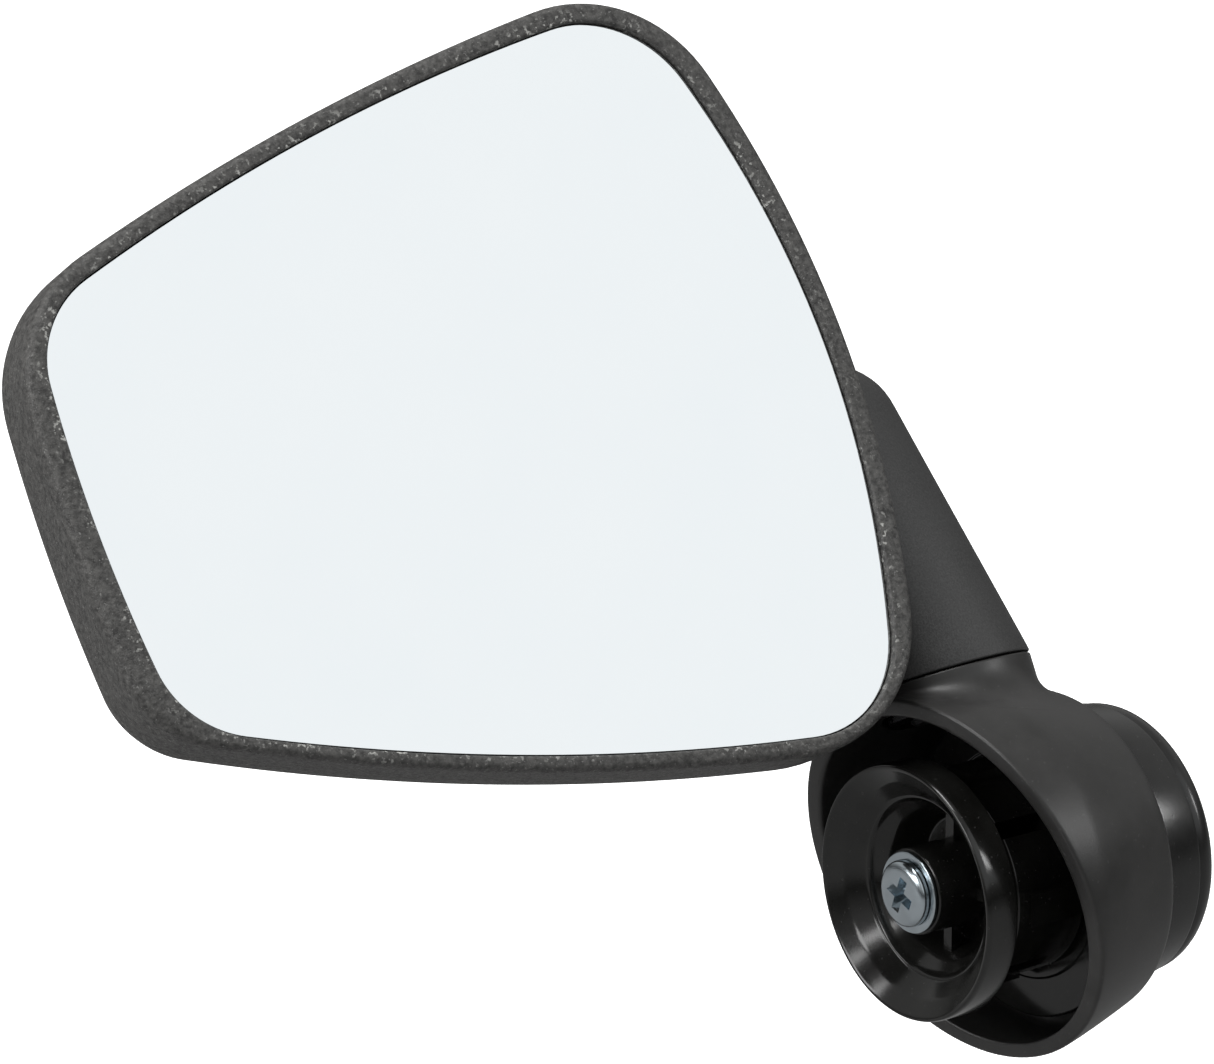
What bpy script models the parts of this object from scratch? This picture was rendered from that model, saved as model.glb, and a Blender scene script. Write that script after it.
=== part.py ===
"""Bar-end bicycle mirror: an expanding plug, a hub that turns on it, and a mirror head on a swivelling arm.

Frame, in metres: the origin is on the plug's axis, in the plane where the handlebar's end face seats.
+X runs along the handlebar's axis, out of its end, so the plug reaches towards -X. +Z is up and the
rider looks at the glass from -Y. Sizes below are millimetres; make_object turns them into metres.
"""

from math import cos, pi, radians, sin, sqrt, tan

import bmesh
import bpy
from mathutils import Matrix, Vector

MM = 0.001
GAP = 0.22  # clearance between pieces that touch
EDGE = 0.26  # a small broken edge
BEVEL = 0.43  # a larger one
WAVE_THICKNESS = 0.26

# Plug: positions along the bar's axis, measured from the seat plane
CUP_FRONT = -10.8
CUP_RADIUS = 9.43
CUP_BAND = 2.74  # length of the cup's cylindrical rim
CUP_FUNNEL_RADIUS = 6.77  # edge where the funnel ends and the ribbed pocket begins
CUP_CONE_RADIUS = 6.34
CUP_CONE_SLOPE = 0.34
CUP_LENGTH = 7.29
CUP_WALL = 0.6
POST_TOP = CUP_FRONT + 0.77  # the screw post stands inside the cup
POST_RADIUS = 3.17
POST_FLOOR = 1.37  # thickness of the web between the post and the cone
SLEEVE_FRONT = -6.6
SLEEVE_RADIUS = 7.63
SLEEVE_RIB_RADIUS = 8.31
SLOT_WIDTH = 1.37
SLEEVE_WEB = -1.71  # where the sleeve closes in around the tube
SEAT_RADIUS = 11.4
SEAT_INNER_RADIUS = 8.5  # the seat is raised a little outside this radius
SEAT_STEP = 0.1
SEAT_THICKNESS = 1.29
TUBE_FRONT = -1.89
TUBE_RADIUS = 3.94
SPINDLE_RADIUS = 4.29
SPINDLE_END = 5.06
SCREW_RADIUS = 1.16
SCREW_BORE = 1.63
SCREW_END = 7.2
SCREW_SEAT = CUP_FRONT + 0.34
SCREW_HEAD_RADIUS = 2.45
SCREW_HEAD_HEIGHT = 0.75
WASHER_X = (CUP_FRONT + 0.43, CUP_FRONT + 0.69)
WASHER_RADIUS = 3.0

# Hub: a drum on the bar's axis, its mouth cut obliquely, and a neck that leans forward
MOUTH_X = -6.34
MOUTH_TILT = 15.0
MOUTH_LENGTH = 5.14  # length of drum left to be cut by the mouth plane
DRUM_RADIUS = 14.06
DRUM_BORE = 12.64
DRUM_TAPER_X = -3.86  # where the drum starts to narrow towards its back
DRUM_BACK_RADIUS = 11.91
DRUM_FLOOR = 2.14
DRUM_BACK = 4.63
DRUM_BACK_ROUND = 0.77
DRUM_FLOOR_ROUND = 1.03
RECESS_RADIUS = 7.37
RECESS_FLOOR = 3.6
RECESS_WASHERS = (4.07, 4.54)  # middle of the wave washer and front of the thrust washer
SWIVEL_LEAN = 28.0  # the swivel axis leans this far forward of the vertical
SWIVEL_X = -2.57  # where the swivel axis crosses the bar's axis
NECK_RADIUS = 7.2
NECK_TOP = 14.35
NECK_FILLET = 2.23

# Knob
KNOB_FRONT = 4.89
KNOB_RADIUS = 10.37
KNOB_END = 10.54
KNOB_BOSS_RADIUS = 7.11
KNOB_SKIRT_BORE = 9.09
NUT_FLATS = 5.0
NUT_HEIGHT = 2.0
SOCKET_FLATS = 4.29

# Swivel: heights along the swivel axis, measured from the bar's axis
PIN_RADIUS = 2.57
PIN_BOTTOM = 11.57
PIN_TOP = 29.14
PIN_GROOVE = (12.04, 12.64)
PIN_GROOVE_RADIUS = 1.97
CLIP_RADIUS = 4.11
CLIP_POCKET_TOP = 12.9
CLIP_MOUTH = 1.46
BUSH_RADIUS = 3.34
BUSH_FLANGE_RADIUS = 5.14
BUSH_FLANGE = (NECK_TOP + 0.13, NECK_TOP + 0.69)
WAVE_MIDDLE = NECK_TOP + 1.29
WASHER_HEIGHTS = (NECK_TOP + 1.85, NECK_TOP + 2.45)
SWIVEL_WASHER_RADIUS = 5.06
ARM_BOTTOM = NECK_TOP + 0.36  # the seam
ARM_RECESS_RADIUS = 5.49
ARM_RECESS_TOP = NECK_TOP + 2.83

# Mirror head: s runs right across the glass, w runs up the swivel axis, depth runs back from the rim
HEAD_TURN = -10.7  # rest angle about the swivel axis
FACE_OFFSET = 9.43  # from the swivel axis forward to the plane of the rim
GLASS_CORNERS = ((-8.4, 11.23), (-12.51, 66.0), (-62.23, 52.71), (-59.83, 23.14))
GLASS_BOWS = (5.31, 2.14, 1.03, 2.06)
GLASS_ROUNDING = (6.43, 6.51, 4.8, 4.29)
GLASS_MIDDLE = (-34.29, 38.57)
GLASS_SPHERE = 1000.0  # radius of the convex glass
GLASS_THICKNESS = 1.71
GLASS_RECESS = 0.3
RIM_CORNERS = ((-6.94, 9.77), (-11.31, 67.89), (-64.03, 53.57), (-62.23, 23.14))
RIM_BOWS = (5.57, 2.06, 0.86, 2.31)
RIM_ROUNDING = (9.17, 8.49, 6.94, 4.03)
RIM_EDGE = 0.51
HOUSING_DEPTH = 9.43
HOUSING_ROUND = 4.29
HOUSING_WALL = 1.37
PAD_THICKNESS = 0.86
GLASS_SEAT = GLASS_RECESS + GLASS_THICKNESS + PAD_THICKNESS + 0.51  # ledge behind the foam
HOUSING_FLOOR = HOUSING_DEPTH - HOUSING_WALL
RIBS = (  # corners of the stiffening ribs behind the glass
    ((-51.4, 20.6), (-50.4, 56.6)),
    ((-36.0, 14.6), (-35.0, 61.7)),
    ((-28.3, 12.9), (-27.3, 63.4)),
    ((-63.4, 32.6), (-5.1, 33.6)),
)

# Arm
ARM_TOP = 39.77
ARM_SHOULDER = 34.29
ARM_EDGE_TAPER = 0.215
PLATE_FRONT = HOUSING_DEPTH + 0.26
PLATE_THICKNESS = 2.06
PLATE_BACK = PLATE_FRONT + PLATE_THICKNESS
HEAD_SEAT = PLATE_BACK - 1.11  # bottom of the pockets for the screw heads
PLATE_CORNERS = ((-7.71, 18.43), (-13.29, 57.43), (-51.43, 47.14), (-49.71, 28.29))
PLATE_BOWS = (3.0, 1.29, 0.86, 1.29)
PLATE_ROUNDING = (6.86, 7.71, 6.86, 6.86)
HOUSING_SCREWS = ((-17.57, 49.71), (-43.71, 40.29), (-21.43, 23.57))
SCREW_HEAD_POCKET = 2.23
BOSS_RADIUS = 2.23
SMALL_SCREW_RADIUS = 0.94
SMALL_HEAD_RADIUS = 1.89
SMALL_SCREW_LENGTH = 5.57

FINE = 44
MEDIUM = 32
SMALL = 20


# Scene, frames and materials


def clear_scene():
    for obj in list(bpy.data.objects):
        bpy.data.objects.remove(obj)


def add_frame(name, matrix, parent=None):
    """An empty that carries the pieces of one rigid group."""
    empty = bpy.data.objects.new(name, None)
    empty.empty_display_size = 0.01
    bpy.context.scene.collection.objects.link(empty)
    empty.parent = parent
    empty.matrix_local = matrix
    return empty


def make_material(name, colour, roughness, metallic=0.0):
    material = bpy.data.materials.new(name)
    material.use_nodes = True
    shader = material.node_tree.nodes["Principled BSDF"]
    shader.inputs["Base Color"].default_value = (*colour, 1.0)
    shader.inputs["Roughness"].default_value = roughness
    shader.inputs["Metallic"].default_value = metallic
    material.diffuse_color = (*colour, 1.0)
    return material


# Mesh helpers, all in millimetres


def make_object(name, points, faces, frame, material=None):
    """A closed mesh, its faces turned outwards, placed in the frame of its parent."""
    mesh = bpy.data.meshes.new(name)
    mesh.from_pydata([Vector(p) * MM for p in points], [], faces)
    work = bmesh.new()
    work.from_mesh(mesh)
    bmesh.ops.recalc_face_normals(work, faces=work.faces)
    work.to_mesh(mesh)
    work.free()
    mesh.shade_smooth()
    mesh.set_sharp_from_angle(angle=radians(35))
    obj = bpy.data.objects.new(name, mesh)
    bpy.context.scene.collection.objects.link(obj)
    obj.parent = frame
    if material:
        mesh.materials.append(material)
    return obj


def make_loft(name, loops, frame, material=None):
    """A skin through loops of equal length, closed at both ends."""
    count = len(loops[0])
    points = [p for loop in loops for p in loop]
    faces = [list(range(count)), list(range(len(points) - count, len(points)))]
    for level in range(len(loops) - 1):
        for i in range(count):
            a = level * count + i
            b = level * count + (i + 1) % count
            faces.append((a, b, b + count, a + count))
    return make_object(name, points, faces, frame, material)


def make_turned(name, profile, frame, material=None, segments=MEDIUM):
    """A closed profile of (z, radius) turned about local Z. A radius of 0 is a point on the axis."""
    points, starts = [], []
    for z, radius in profile:
        starts.append(len(points))
        if radius == 0:
            points.append((0, 0, z))
            continue
        for i in range(segments):
            angle = 2 * pi * i / segments
            points.append((radius * cos(angle), radius * sin(angle), z))
    faces = []
    for k, (_, radius) in enumerate(profile):
        after = (k + 1) % len(profile)
        if radius == 0 and profile[after][1] == 0:
            continue
        for i in range(segments):
            j = (i + 1) % segments
            low = [starts[k]] if radius == 0 else [starts[k] + i, starts[k] + j]
            high = [starts[after]] if profile[after][1] == 0 else [starts[after] + j, starts[after] + i]
            faces.append(low + high)
    return make_object(name, points, faces, frame, material)


def make_prism(name, outline, low, high, frame, material=None):
    """An outline of (x, y) extruded along local Z."""
    loops = [[(x, y, z) for x, y in outline] for z in (low, high)]
    return make_loft(name, loops, frame, material)


def make_box(name, low, high, frame, material=None):
    outline = [(low[0], low[1]), (high[0], low[1]), (high[0], high[1]), (low[0], high[1])]
    return make_prism(name, outline, low[2], high[2], frame, material)


def make_slab(name, outline, half_width, frame):
    """An outline of (x, z) extruded both ways along local Y."""
    loops = [[(x, y, z) for x, z in outline] for y in (-half_width, half_width)]
    return make_loft(name, loops, frame)


def polygon(sides, flats, turn=0.0):
    """A regular polygon, given its size across flats."""
    radius = flats / 2 / cos(pi / sides)
    return [
        (radius * cos(turn + 2 * pi * i / sides), radius * sin(turn + 2 * pi * i / sides))
        for i in range(sides)
    ]


def arc(centre_z, centre_r, radius, start, end, steps):
    """Profile points along an arc, its angles in degrees from +Z towards larger radius."""
    angles = [radians(start + (end - start) * i / steps) for i in range(steps + 1)]
    return [(centre_z + radius * cos(a), centre_r + radius * sin(a)) for a in angles]


def combine(target, tool, operation):
    """Join a tool to its target, or cut it away. The tool itself is only a guide."""
    tool.hide_render = True
    tool.display_type = "WIRE"
    modifier = target.modifiers.new(f"{operation.lower()} {tool.name}", "BOOLEAN")
    modifier.operation = operation
    modifier.object = tool
    modifier.solver = "EXACT"


# Outlines on the mirror's face


def bowed_outline(corners, bows, rounding, per_edge=7, per_corner=5):
    """A four-cornered outline with bowed edges. Each corner is a Bezier curve between its two edges."""
    corners = [Vector(c) for c in corners]

    def edge_point(i, t):
        start, end = corners[i], corners[(i + 1) % 4]
        run = end - start
        outward = Vector((run.y, -run.x)).normalized()
        return start + run * t + outward * (4 * bows[i] * t * (1 - t))

    def edge_direction(i, t):
        return (edge_point(i, t + 0.001) - edge_point(i, t - 0.001)).normalized()

    lengths = [(corners[(i + 1) % 4] - corners[i]).length for i in range(4)]
    outline = []
    for i in range(4):
        before, cut = (i - 1) % 4, rounding[i]
        leave, join = 1 - cut / lengths[before], cut / lengths[i]
        a, d = edge_point(before, leave), edge_point(i, join)
        b = a + edge_direction(before, leave) * cut * 0.62
        c = d - edge_direction(i, join) * cut * 0.62
        for k in range(per_corner):
            t = k / per_corner
            outline.append(
                a * (1 - t) ** 3 + b * 3 * t * (1 - t) ** 2 + c * 3 * t**2 * (1 - t) + d * t**3
            )
        end = 1 - rounding[(i + 1) % 4] / lengths[i]
        for k in range(per_edge):
            outline.append(edge_point(i, join + (end - join) * k / per_edge))
    return outline


def offset_outline(outline, distance):
    """Each point moved outwards along the outline's normal there."""
    moved = []
    for i, point in enumerate(outline):
        along = outline[(i + 1) % len(outline)] - outline[i - 1]
        moved.append(point + Vector((along.y, -along.x)).normalized() * distance)
    return moved


def on_face(outline, depth):
    """Outline points placed at a depth behind the rim, in the head's frame."""
    return [(p.x, depth - FACE_OFFSET, p.y) for p in outline]


def housing_loops(rim, grow=0.0, front=0.0):
    """The housing's outer skin from its rim back: a straight wall that rounds over onto the back."""
    straight = HOUSING_DEPTH - HOUSING_ROUND
    loops = [on_face(offset_outline(rim, grow), front)]
    for i in range(5):
        angle = pi / 2 * i / 4
        inset = (HOUSING_ROUND + grow) * (1 - cos(angle))
        depth = straight + (HOUSING_ROUND + grow) * sin(angle)
        loops.append(on_face(offset_outline(rim, grow - inset), depth))
    return loops


# Plug and clamp


def cup_cone(x):
    """Outer radius of the cup's cone at a place on the bar's axis."""
    return CUP_CONE_RADIUS - CUP_CONE_SLOPE * (x - CUP_FRONT - CUP_BAND)


def add_cup(frame, material):
    back = CUP_FRONT + CUP_LENGTH
    band_end = CUP_FRONT + CUP_BAND
    pocket = CUP_FRONT + 2.06
    floor = back - POST_FLOOR
    profile = [
        (POST_TOP, 0),
        (POST_TOP, POST_RADIUS),
        (floor, POST_RADIUS),
        (floor, cup_cone(floor) - CUP_WALL),
        (band_end + CUP_WALL, cup_cone(band_end + CUP_WALL) - CUP_WALL),
        (band_end - 0.2, CUP_FUNNEL_RADIUS - 0.45),
        (pocket, CUP_FUNNEL_RADIUS - 0.17),
        (pocket, CUP_FUNNEL_RADIUS),
        (CUP_FRONT + 0.86, 7.89),
        (CUP_FRONT + 0.21, 8.83),
        (CUP_FRONT, 9.13),
        (CUP_FRONT + 0.09, CUP_RADIUS - 0.09),
        (CUP_FRONT + 0.3, CUP_RADIUS),
        (band_end - EDGE, CUP_RADIUS),
        (band_end, CUP_RADIUS - EDGE),
        (band_end, cup_cone(band_end)),
        (back - 0.34, cup_cone(back - 0.34)),
        (back, cup_cone(back) - BEVEL),
        (back, 0),
    ]
    cup = make_turned("expander_cup", profile, frame, material, FINE)
    for i in range(2):
        front, end = CUP_FRONT + 2.9, back - 0.86
        wide, narrow = cup_cone(front) - 0.3, cup_cone(end) - 0.3
        outline = [(-wide, front), (wide, front), (narrow, end), (-narrow, end)]
        rib = make_slab(f"cup_rib_guide_{i}", outline, 0.43, frame)
        rib.rotation_euler.z = pi / 2 * i
        combine(cup, rib, "UNION")
    radius = SCREW_RADIUS + GAP
    bore = [(CUP_FRONT, 0), (CUP_FRONT, radius), (back + 1, radius), (back + 1, 0)]
    combine(cup, make_turned("cup_bore_cutter", bore, frame, segments=SMALL), "DIFFERENCE")


def add_clamp_screw(frame, material):
    seat, radius = SCREW_SEAT, SCREW_HEAD_RADIUS
    top = seat - SCREW_HEAD_HEIGHT
    profile = [(top, 0), (top, radius - 0.8), (top + 0.13, radius - 0.35), (top + 0.4, radius - 0.05)]
    profile += [
        (top + 0.6, radius),
        (seat, radius),
        (seat, SCREW_RADIUS),
        (SCREW_END - BEVEL, SCREW_RADIUS),
        (SCREW_END, SCREW_RADIUS - BEVEL),
        (SCREW_END, 0),
    ]
    screw = make_turned("clamp_screw", profile, frame, material, SMALL)
    for i in range(2):
        low, high = (-1.35, -0.34, top - 1), (1.35, 0.34, top + 0.6)
        slot = make_box(f"cross_slot_cutter_{i}", low, high, frame)
        slot.rotation_euler.z = pi / 2 * i + radians(20)
        combine(screw, slot, "DIFFERENCE")


def ring_profile(low, high, inner, outer):
    return [(low, inner), (low, outer), (high, outer), (high, inner)]


def add_sleeve(frame, material):
    end, web = -GAP, SLEEVE_WEB
    mouth = cup_cone(SLEEVE_FRONT) + 0.3
    throat = cup_cone(web - 1.37) + 0.3
    profile = [
        (SLEEVE_FRONT, mouth),
        (SLEEVE_FRONT, SLEEVE_RADIUS - BEVEL),
        (SLEEVE_FRONT + BEVEL, SLEEVE_RADIUS),
        (end, SLEEVE_RADIUS),
        (end, TUBE_RADIUS + GAP),
        (web, TUBE_RADIUS + GAP),
        (web, throat),
        (web - 1.37, throat),
    ]
    sleeve = make_turned("expander_sleeve", profile, frame, material, FINE)
    for i in range(4):
        low = (throat + 1.03, -1.2, SLEEVE_FRONT + 0.69)
        high = (SLEEVE_RIB_RADIUS, 1.2, end - 0.51)
        rib = make_box(f"sleeve_rib_guide_{i}", low, high, frame)
        rib.rotation_euler.z = pi / 2 * i
        combine(sleeve, rib, "UNION")
    for i in range(2):
        half = SLOT_WIDTH / 2
        low, high = (-12, -half, SLEEVE_FRONT - 1), (12, half, web - 0.34)
        slot = make_box(f"sleeve_slot_cutter_{i}", low, high, frame)
        slot.rotation_euler.z = pi / 4 + pi / 2 * i
        combine(sleeve, slot, "DIFFERENCE")


def add_plug_body(frame, material):
    profile = [
        (TUBE_FRONT, SCREW_BORE),
        (TUBE_FRONT, TUBE_RADIUS - EDGE),
        (TUBE_FRONT + EDGE, TUBE_RADIUS),
        (SEAT_STEP, TUBE_RADIUS),
        (SEAT_STEP, SEAT_INNER_RADIUS),
        (0, SEAT_INNER_RADIUS),
        (0, SEAT_RADIUS - EDGE),
        (EDGE, SEAT_RADIUS),
        (SEAT_THICKNESS, SEAT_RADIUS),
        (SEAT_THICKNESS, SPINDLE_RADIUS),
        (SPINDLE_END - EDGE, SPINDLE_RADIUS),
        (SPINDLE_END, SPINDLE_RADIUS - EDGE),
        (SPINDLE_END, SCREW_BORE),
    ]
    make_turned("plug_body", profile, frame, material, FINE)


def make_wave_ring(name, middle, inner, outer, rise, waves, frame, material):
    """A thin ring bent into waves about local Z."""
    points, faces = [], []
    sections = MEDIUM
    for i in range(sections):
        angle = 2 * pi * i / sections
        lift = middle + rise * sin(waves * angle)
        for radius, z in ((inner, -1), (outer, -1), (outer, 1), (inner, 1)):
            points.append((radius * cos(angle), radius * sin(angle), lift + z * WAVE_THICKNESS / 2))
    for i in range(sections):
        for k in range(4):
            a, b = 4 * i, 4 * ((i + 1) % sections)
            faces.append((a + k, b + k, b + (k + 1) % 4, a + (k + 1) % 4))
    return make_object(name, points, faces, frame, material)


def add_hub_washers(frame, steel, nylon):
    bore = SPINDLE_RADIUS + GAP
    ring = ring_profile(SEAT_THICKNESS + 0.17, DRUM_FLOOR - 0.17, bore, SEAT_RADIUS - 1.0)
    make_turned("hub_friction_ring", ring, frame, nylon)
    wave, thrust = RECESS_WASHERS
    outer = RECESS_RADIUS - 0.43
    make_wave_ring("hub_wave_washer", wave, bore + 0.17, outer, 0.15, 3, frame, steel)
    thrust = ring_profile(thrust, SPINDLE_END - 0.04, bore, outer)
    make_turned("hub_thrust_washer", thrust, frame, steel)


def add_knob(frame, material):
    face = KNOB_END
    profile = [
        (SPINDLE_END + GAP, 0),
        (SPINDLE_END + GAP, KNOB_BOSS_RADIUS),
        (face - 1.71, KNOB_BOSS_RADIUS),
        (face - 1.71, KNOB_SKIRT_BORE),
        (KNOB_FRONT, KNOB_SKIRT_BORE),
        (KNOB_FRONT, KNOB_RADIUS - 0.34),
        (KNOB_FRONT + 0.34, KNOB_RADIUS - 0.04),
        (KNOB_FRONT + 1.46, KNOB_RADIUS),
        (face - 1.97, KNOB_RADIUS - 0.26),
    ]
    profile += arc(face - 1.63, KNOB_RADIUS - 1.89, 1.63, 80, 0, 4)
    profile += [(face - 0.13, 7.2), (face - 0.51, 5.14), (face - 0.64, 0)]
    knob = make_turned("clamp_knob", profile, frame, material, FINE)
    nut_seat = SPINDLE_END + GAP + NUT_HEIGHT + 0.26
    hexagon = polygon(6, NUT_FLATS + 0.34)
    pocket = make_prism("nut_pocket_cutter", hexagon, SPINDLE_END - 1, nut_seat, frame)
    combine(knob, pocket, "DIFFERENCE")
    socket = make_prism("socket_cutter", polygon(6, SOCKET_FLATS), face - 2.06, face + 1, frame)
    combine(knob, socket, "DIFFERENCE")
    bore = ring_profile(SPINDLE_END, face, 0, SCREW_BORE)
    combine(knob, make_turned("knob_bore_cutter", bore, frame, segments=SMALL), "DIFFERENCE")


def add_knob_nut(frame, material):
    low = SPINDLE_END + GAP + 0.09
    nut = make_prism("knob_nut", polygon(6, NUT_FLATS), low, low + NUT_HEIGHT, frame, material)
    bore = ring_profile(0, KNOB_END, 0, SCREW_RADIUS + GAP)
    combine(nut, make_turned("nut_bore_cutter", bore, frame, segments=SMALL), "DIFFERENCE")


# Hub


def drum_radius(x):
    """Outer radius of the drum at a place on the bar's axis: a shallow barrel, narrower at the back."""
    share = max(0.0, (x - DRUM_TAPER_X) / (DRUM_BACK - DRUM_TAPER_X))
    return DRUM_RADIUS - (DRUM_RADIUS - DRUM_BACK_RADIUS) * share**1.2


def neck_profile(angle):
    """(radius, height) points down the neck at one side of it, ending in a fillet on the drum."""

    def drum_height(radius):
        x = SWIVEL_X + radius * cos(angle)
        return sqrt(drum_radius(min(x, DRUM_BACK)) ** 2 - (radius * sin(angle)) ** 2)

    reach = 0.17 + NECK_FILLET * sin(angle) ** 2
    root = drum_height(NECK_RADIUS)
    top = min(root + reach, NECK_TOP - 0.51)
    outer = (NECK_RADIUS + reach, drum_height(NECK_RADIUS + reach))
    points = [(NECK_RADIUS - 0.21, NECK_TOP), (NECK_RADIUS, NECK_TOP - 0.21), (NECK_RADIUS, top)]
    for i in range(1, 6):
        t = i / 5
        radius = NECK_RADIUS * (1 - t * t) + outer[0] * t * t
        height = top * (1 - t) ** 2 + root * 2 * t * (1 - t) + outer[1] * t * t
        points.append((radius, height))
    points.append((outer[0] - 1.03, outer[1] - 1.2))
    return points


def add_hub(bar_frame, swivel_frame, material):
    start, end = MOUTH_X - MOUTH_LENGTH, DRUM_BACK - DRUM_BACK_ROUND
    places = [start + (end - start) * i / 14 for i in range(15)]
    profile = [(start, 0)] + [(x, drum_radius(x)) for x in places]
    profile += arc(end, drum_radius(end) - DRUM_BACK_ROUND, DRUM_BACK_ROUND, 60, 0, 2)
    profile += [(DRUM_BACK, 0)]
    hub = make_turned("hub_shell", profile, bar_frame, material, FINE)

    angles = [2 * pi * i / FINE for i in range(FINE)]
    levels = zip(*[neck_profile(angle) for angle in angles])
    loops = [
        [(radius * cos(a), radius * sin(a), height) for a, (radius, height) in zip(angles, level)]
        for level in levels
    ]
    combine(hub, make_loft("neck_guide", loops, swivel_frame), "UNION")

    cavity = [
        (MOUTH_X - 8, 0),
        (MOUTH_X - 8, DRUM_BORE),
        (DRUM_FLOOR - DRUM_FLOOR_ROUND, DRUM_BORE),
        (DRUM_FLOOR - EDGE, DRUM_BORE - EDGE),
        (DRUM_FLOOR, DRUM_BORE - DRUM_FLOOR_ROUND),
        (DRUM_FLOOR, 0),
    ]
    cavity = make_turned("drum_cavity_cutter", cavity, bar_frame, segments=FINE)
    cavity.rotation_euler.z = pi / FINE
    combine(hub, cavity, "DIFFERENCE")
    bore = SPINDLE_RADIUS + GAP
    steps = [(0, 0), (0, bore), (RECESS_FLOOR, bore), (RECESS_FLOOR, RECESS_RADIUS)]
    steps += [(DRUM_BACK + 1, RECESS_RADIUS), (DRUM_BACK + 1, 0)]
    combine(hub, make_turned("spindle_bore_cutter", steps, bar_frame), "DIFFERENCE")
    combine(hub, add_mouth_cutter(swivel_frame), "DIFFERENCE")
    low, pocket, hole = SPINDLE_RADIUS + 1, CLIP_RADIUS + 0.43, BUSH_RADIUS + 0.09
    holes = [(low, 0), (low, pocket), (CLIP_POCKET_TOP, pocket)]
    holes += [(CLIP_POCKET_TOP, hole), (NECK_TOP + 1, hole), (NECK_TOP + 1, 0)]
    combine(hub, make_turned("neck_bore_cutter", holes, swivel_frame), "DIFFERENCE")


def add_mouth_cutter(frame):
    """Everything on the plug's side of the oblique mouth plane, which reaches furthest at the neck."""
    slope = tan(radians(MOUTH_TILT))
    reach = 30

    def plane_x(height):
        return MOUTH_X - SWIVEL_X - slope * height

    outline = [
        (plane_x(-reach), -reach),
        (plane_x(reach), reach),
        (plane_x(reach) - reach, reach),
        (plane_x(reach) - reach, -reach),
    ]
    return make_slab("mouth_cutter", outline, reach, frame)


# Swivel joint


def add_swivel(hub_frame, head_frame, steel, nylon):
    bore = PIN_RADIUS + GAP
    bush = [
        (CLIP_POCKET_TOP, bore),
        (CLIP_POCKET_TOP, BUSH_RADIUS - 0.09),
        (BUSH_FLANGE[0], BUSH_RADIUS - 0.09),
        (BUSH_FLANGE[0], BUSH_FLANGE_RADIUS),
        (BUSH_FLANGE[1], BUSH_FLANGE_RADIUS),
        (BUSH_FLANGE[1], bore),
    ]
    make_turned("swivel_bush", bush, hub_frame, nylon)
    outer = SWIVEL_WASHER_RADIUS
    make_wave_ring("swivel_wave_washer", WAVE_MIDDLE, bore + 0.09, outer, 0.17, 3, head_frame, steel)
    make_turned("swivel_washer", ring_profile(*WASHER_HEIGHTS, bore, outer), head_frame, steel)
    low, high = PIN_GROOVE
    pin = [
        (PIN_BOTTOM, 0),
        (PIN_BOTTOM, PIN_RADIUS - EDGE),
        (PIN_BOTTOM + EDGE, PIN_RADIUS),
        (low, PIN_RADIUS),
        (low, PIN_GROOVE_RADIUS),
        (high, PIN_GROOVE_RADIUS),
        (high, PIN_RADIUS),
        (PIN_TOP - BEVEL, PIN_RADIUS),
        (PIN_TOP, PIN_RADIUS - BEVEL),
        (PIN_TOP, 0),
    ]
    make_turned("swivel_pin", pin, head_frame, steel, SMALL)
    ring = ring_profile(low + 0.09, high - 0.09, PIN_GROOVE_RADIUS + 0.13, CLIP_RADIUS)
    clip = make_turned("swivel_clip", ring, head_frame, steel, SMALL)
    corner, opposite = (-CLIP_MOUTH, 0, low - 1), (CLIP_MOUTH, CLIP_RADIUS + 1, high + 1)
    mouth = make_box("clip_mouth_cutter", corner, opposite, head_frame)
    combine(clip, mouth, "DIFFERENCE")


# Mirror head


def add_housing(outline, rim, frame, material):
    bed = offset_outline(outline, -1.71)
    loops = [
        on_face(bed, HOUSING_FLOOR),
        on_face(bed, GLASS_SEAT),
        on_face(outline, GLASS_SEAT),
        on_face(outline, EDGE),
        on_face(offset_outline(outline, 0.21), 0.0),
        on_face(offset_outline(rim, -RIM_EDGE), 0.0),
        on_face(offset_outline(rim, -RIM_EDGE * 0.3), RIM_EDGE * 0.3),
    ]
    loops += housing_loops(rim, front=RIM_EDGE)
    housing = make_loft("mirror_housing", loops, frame, material)

    well = offset_outline(outline, -1.29)
    well_loops = [on_face(well, depth) for depth in (GLASS_SEAT, HOUSING_FLOOR + BEVEL)]
    inner = make_loft("bed_guide", well_loops, frame)
    buried = HOUSING_FLOOR + EDGE
    for i, (low, high) in enumerate(RIBS):
        corner = (low[0], GLASS_SEAT - FACE_OFFSET, low[1])
        opposite = (high[0], buried - FACE_OFFSET, high[1])
        rib = make_box(f"housing_rib_guide_{i}", corner, opposite, frame)
        combine(rib, inner, "INTERSECT")
        combine(housing, rib, "UNION")
    hole_radius = SMALL_SCREW_RADIUS + 0.17
    for i, (s, w) in enumerate(HOUSING_SCREWS):
        boss = add_screw_tool(f"boss_guide_{i}", s, w, GLASS_SEAT + 0.17, buried, BOSS_RADIUS, frame)
        combine(housing, boss, "UNION")
        front, back = GLASS_SEAT + 1.03, HOUSING_DEPTH + 1
        hole = add_screw_tool(f"boss_hole_cutter_{i}", s, w, front, back, hole_radius, frame)
        combine(housing, hole, "DIFFERENCE")


def add_screw_tool(name, s, w, front, back, radius, frame):
    """A round tool across the head at one of its screws."""
    tool = make_turned(name, ring_profile(front, back, 0, radius), frame, segments=SMALL)
    place_across(tool, s, w)
    return tool


def place_across(obj, s, w):
    """Turn local Z to run back through the head, with z counted from the rim's plane."""
    obj.rotation_euler.x = -pi / 2
    obj.location = (s * MM, -FACE_OFFSET * MM, w * MM)


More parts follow.
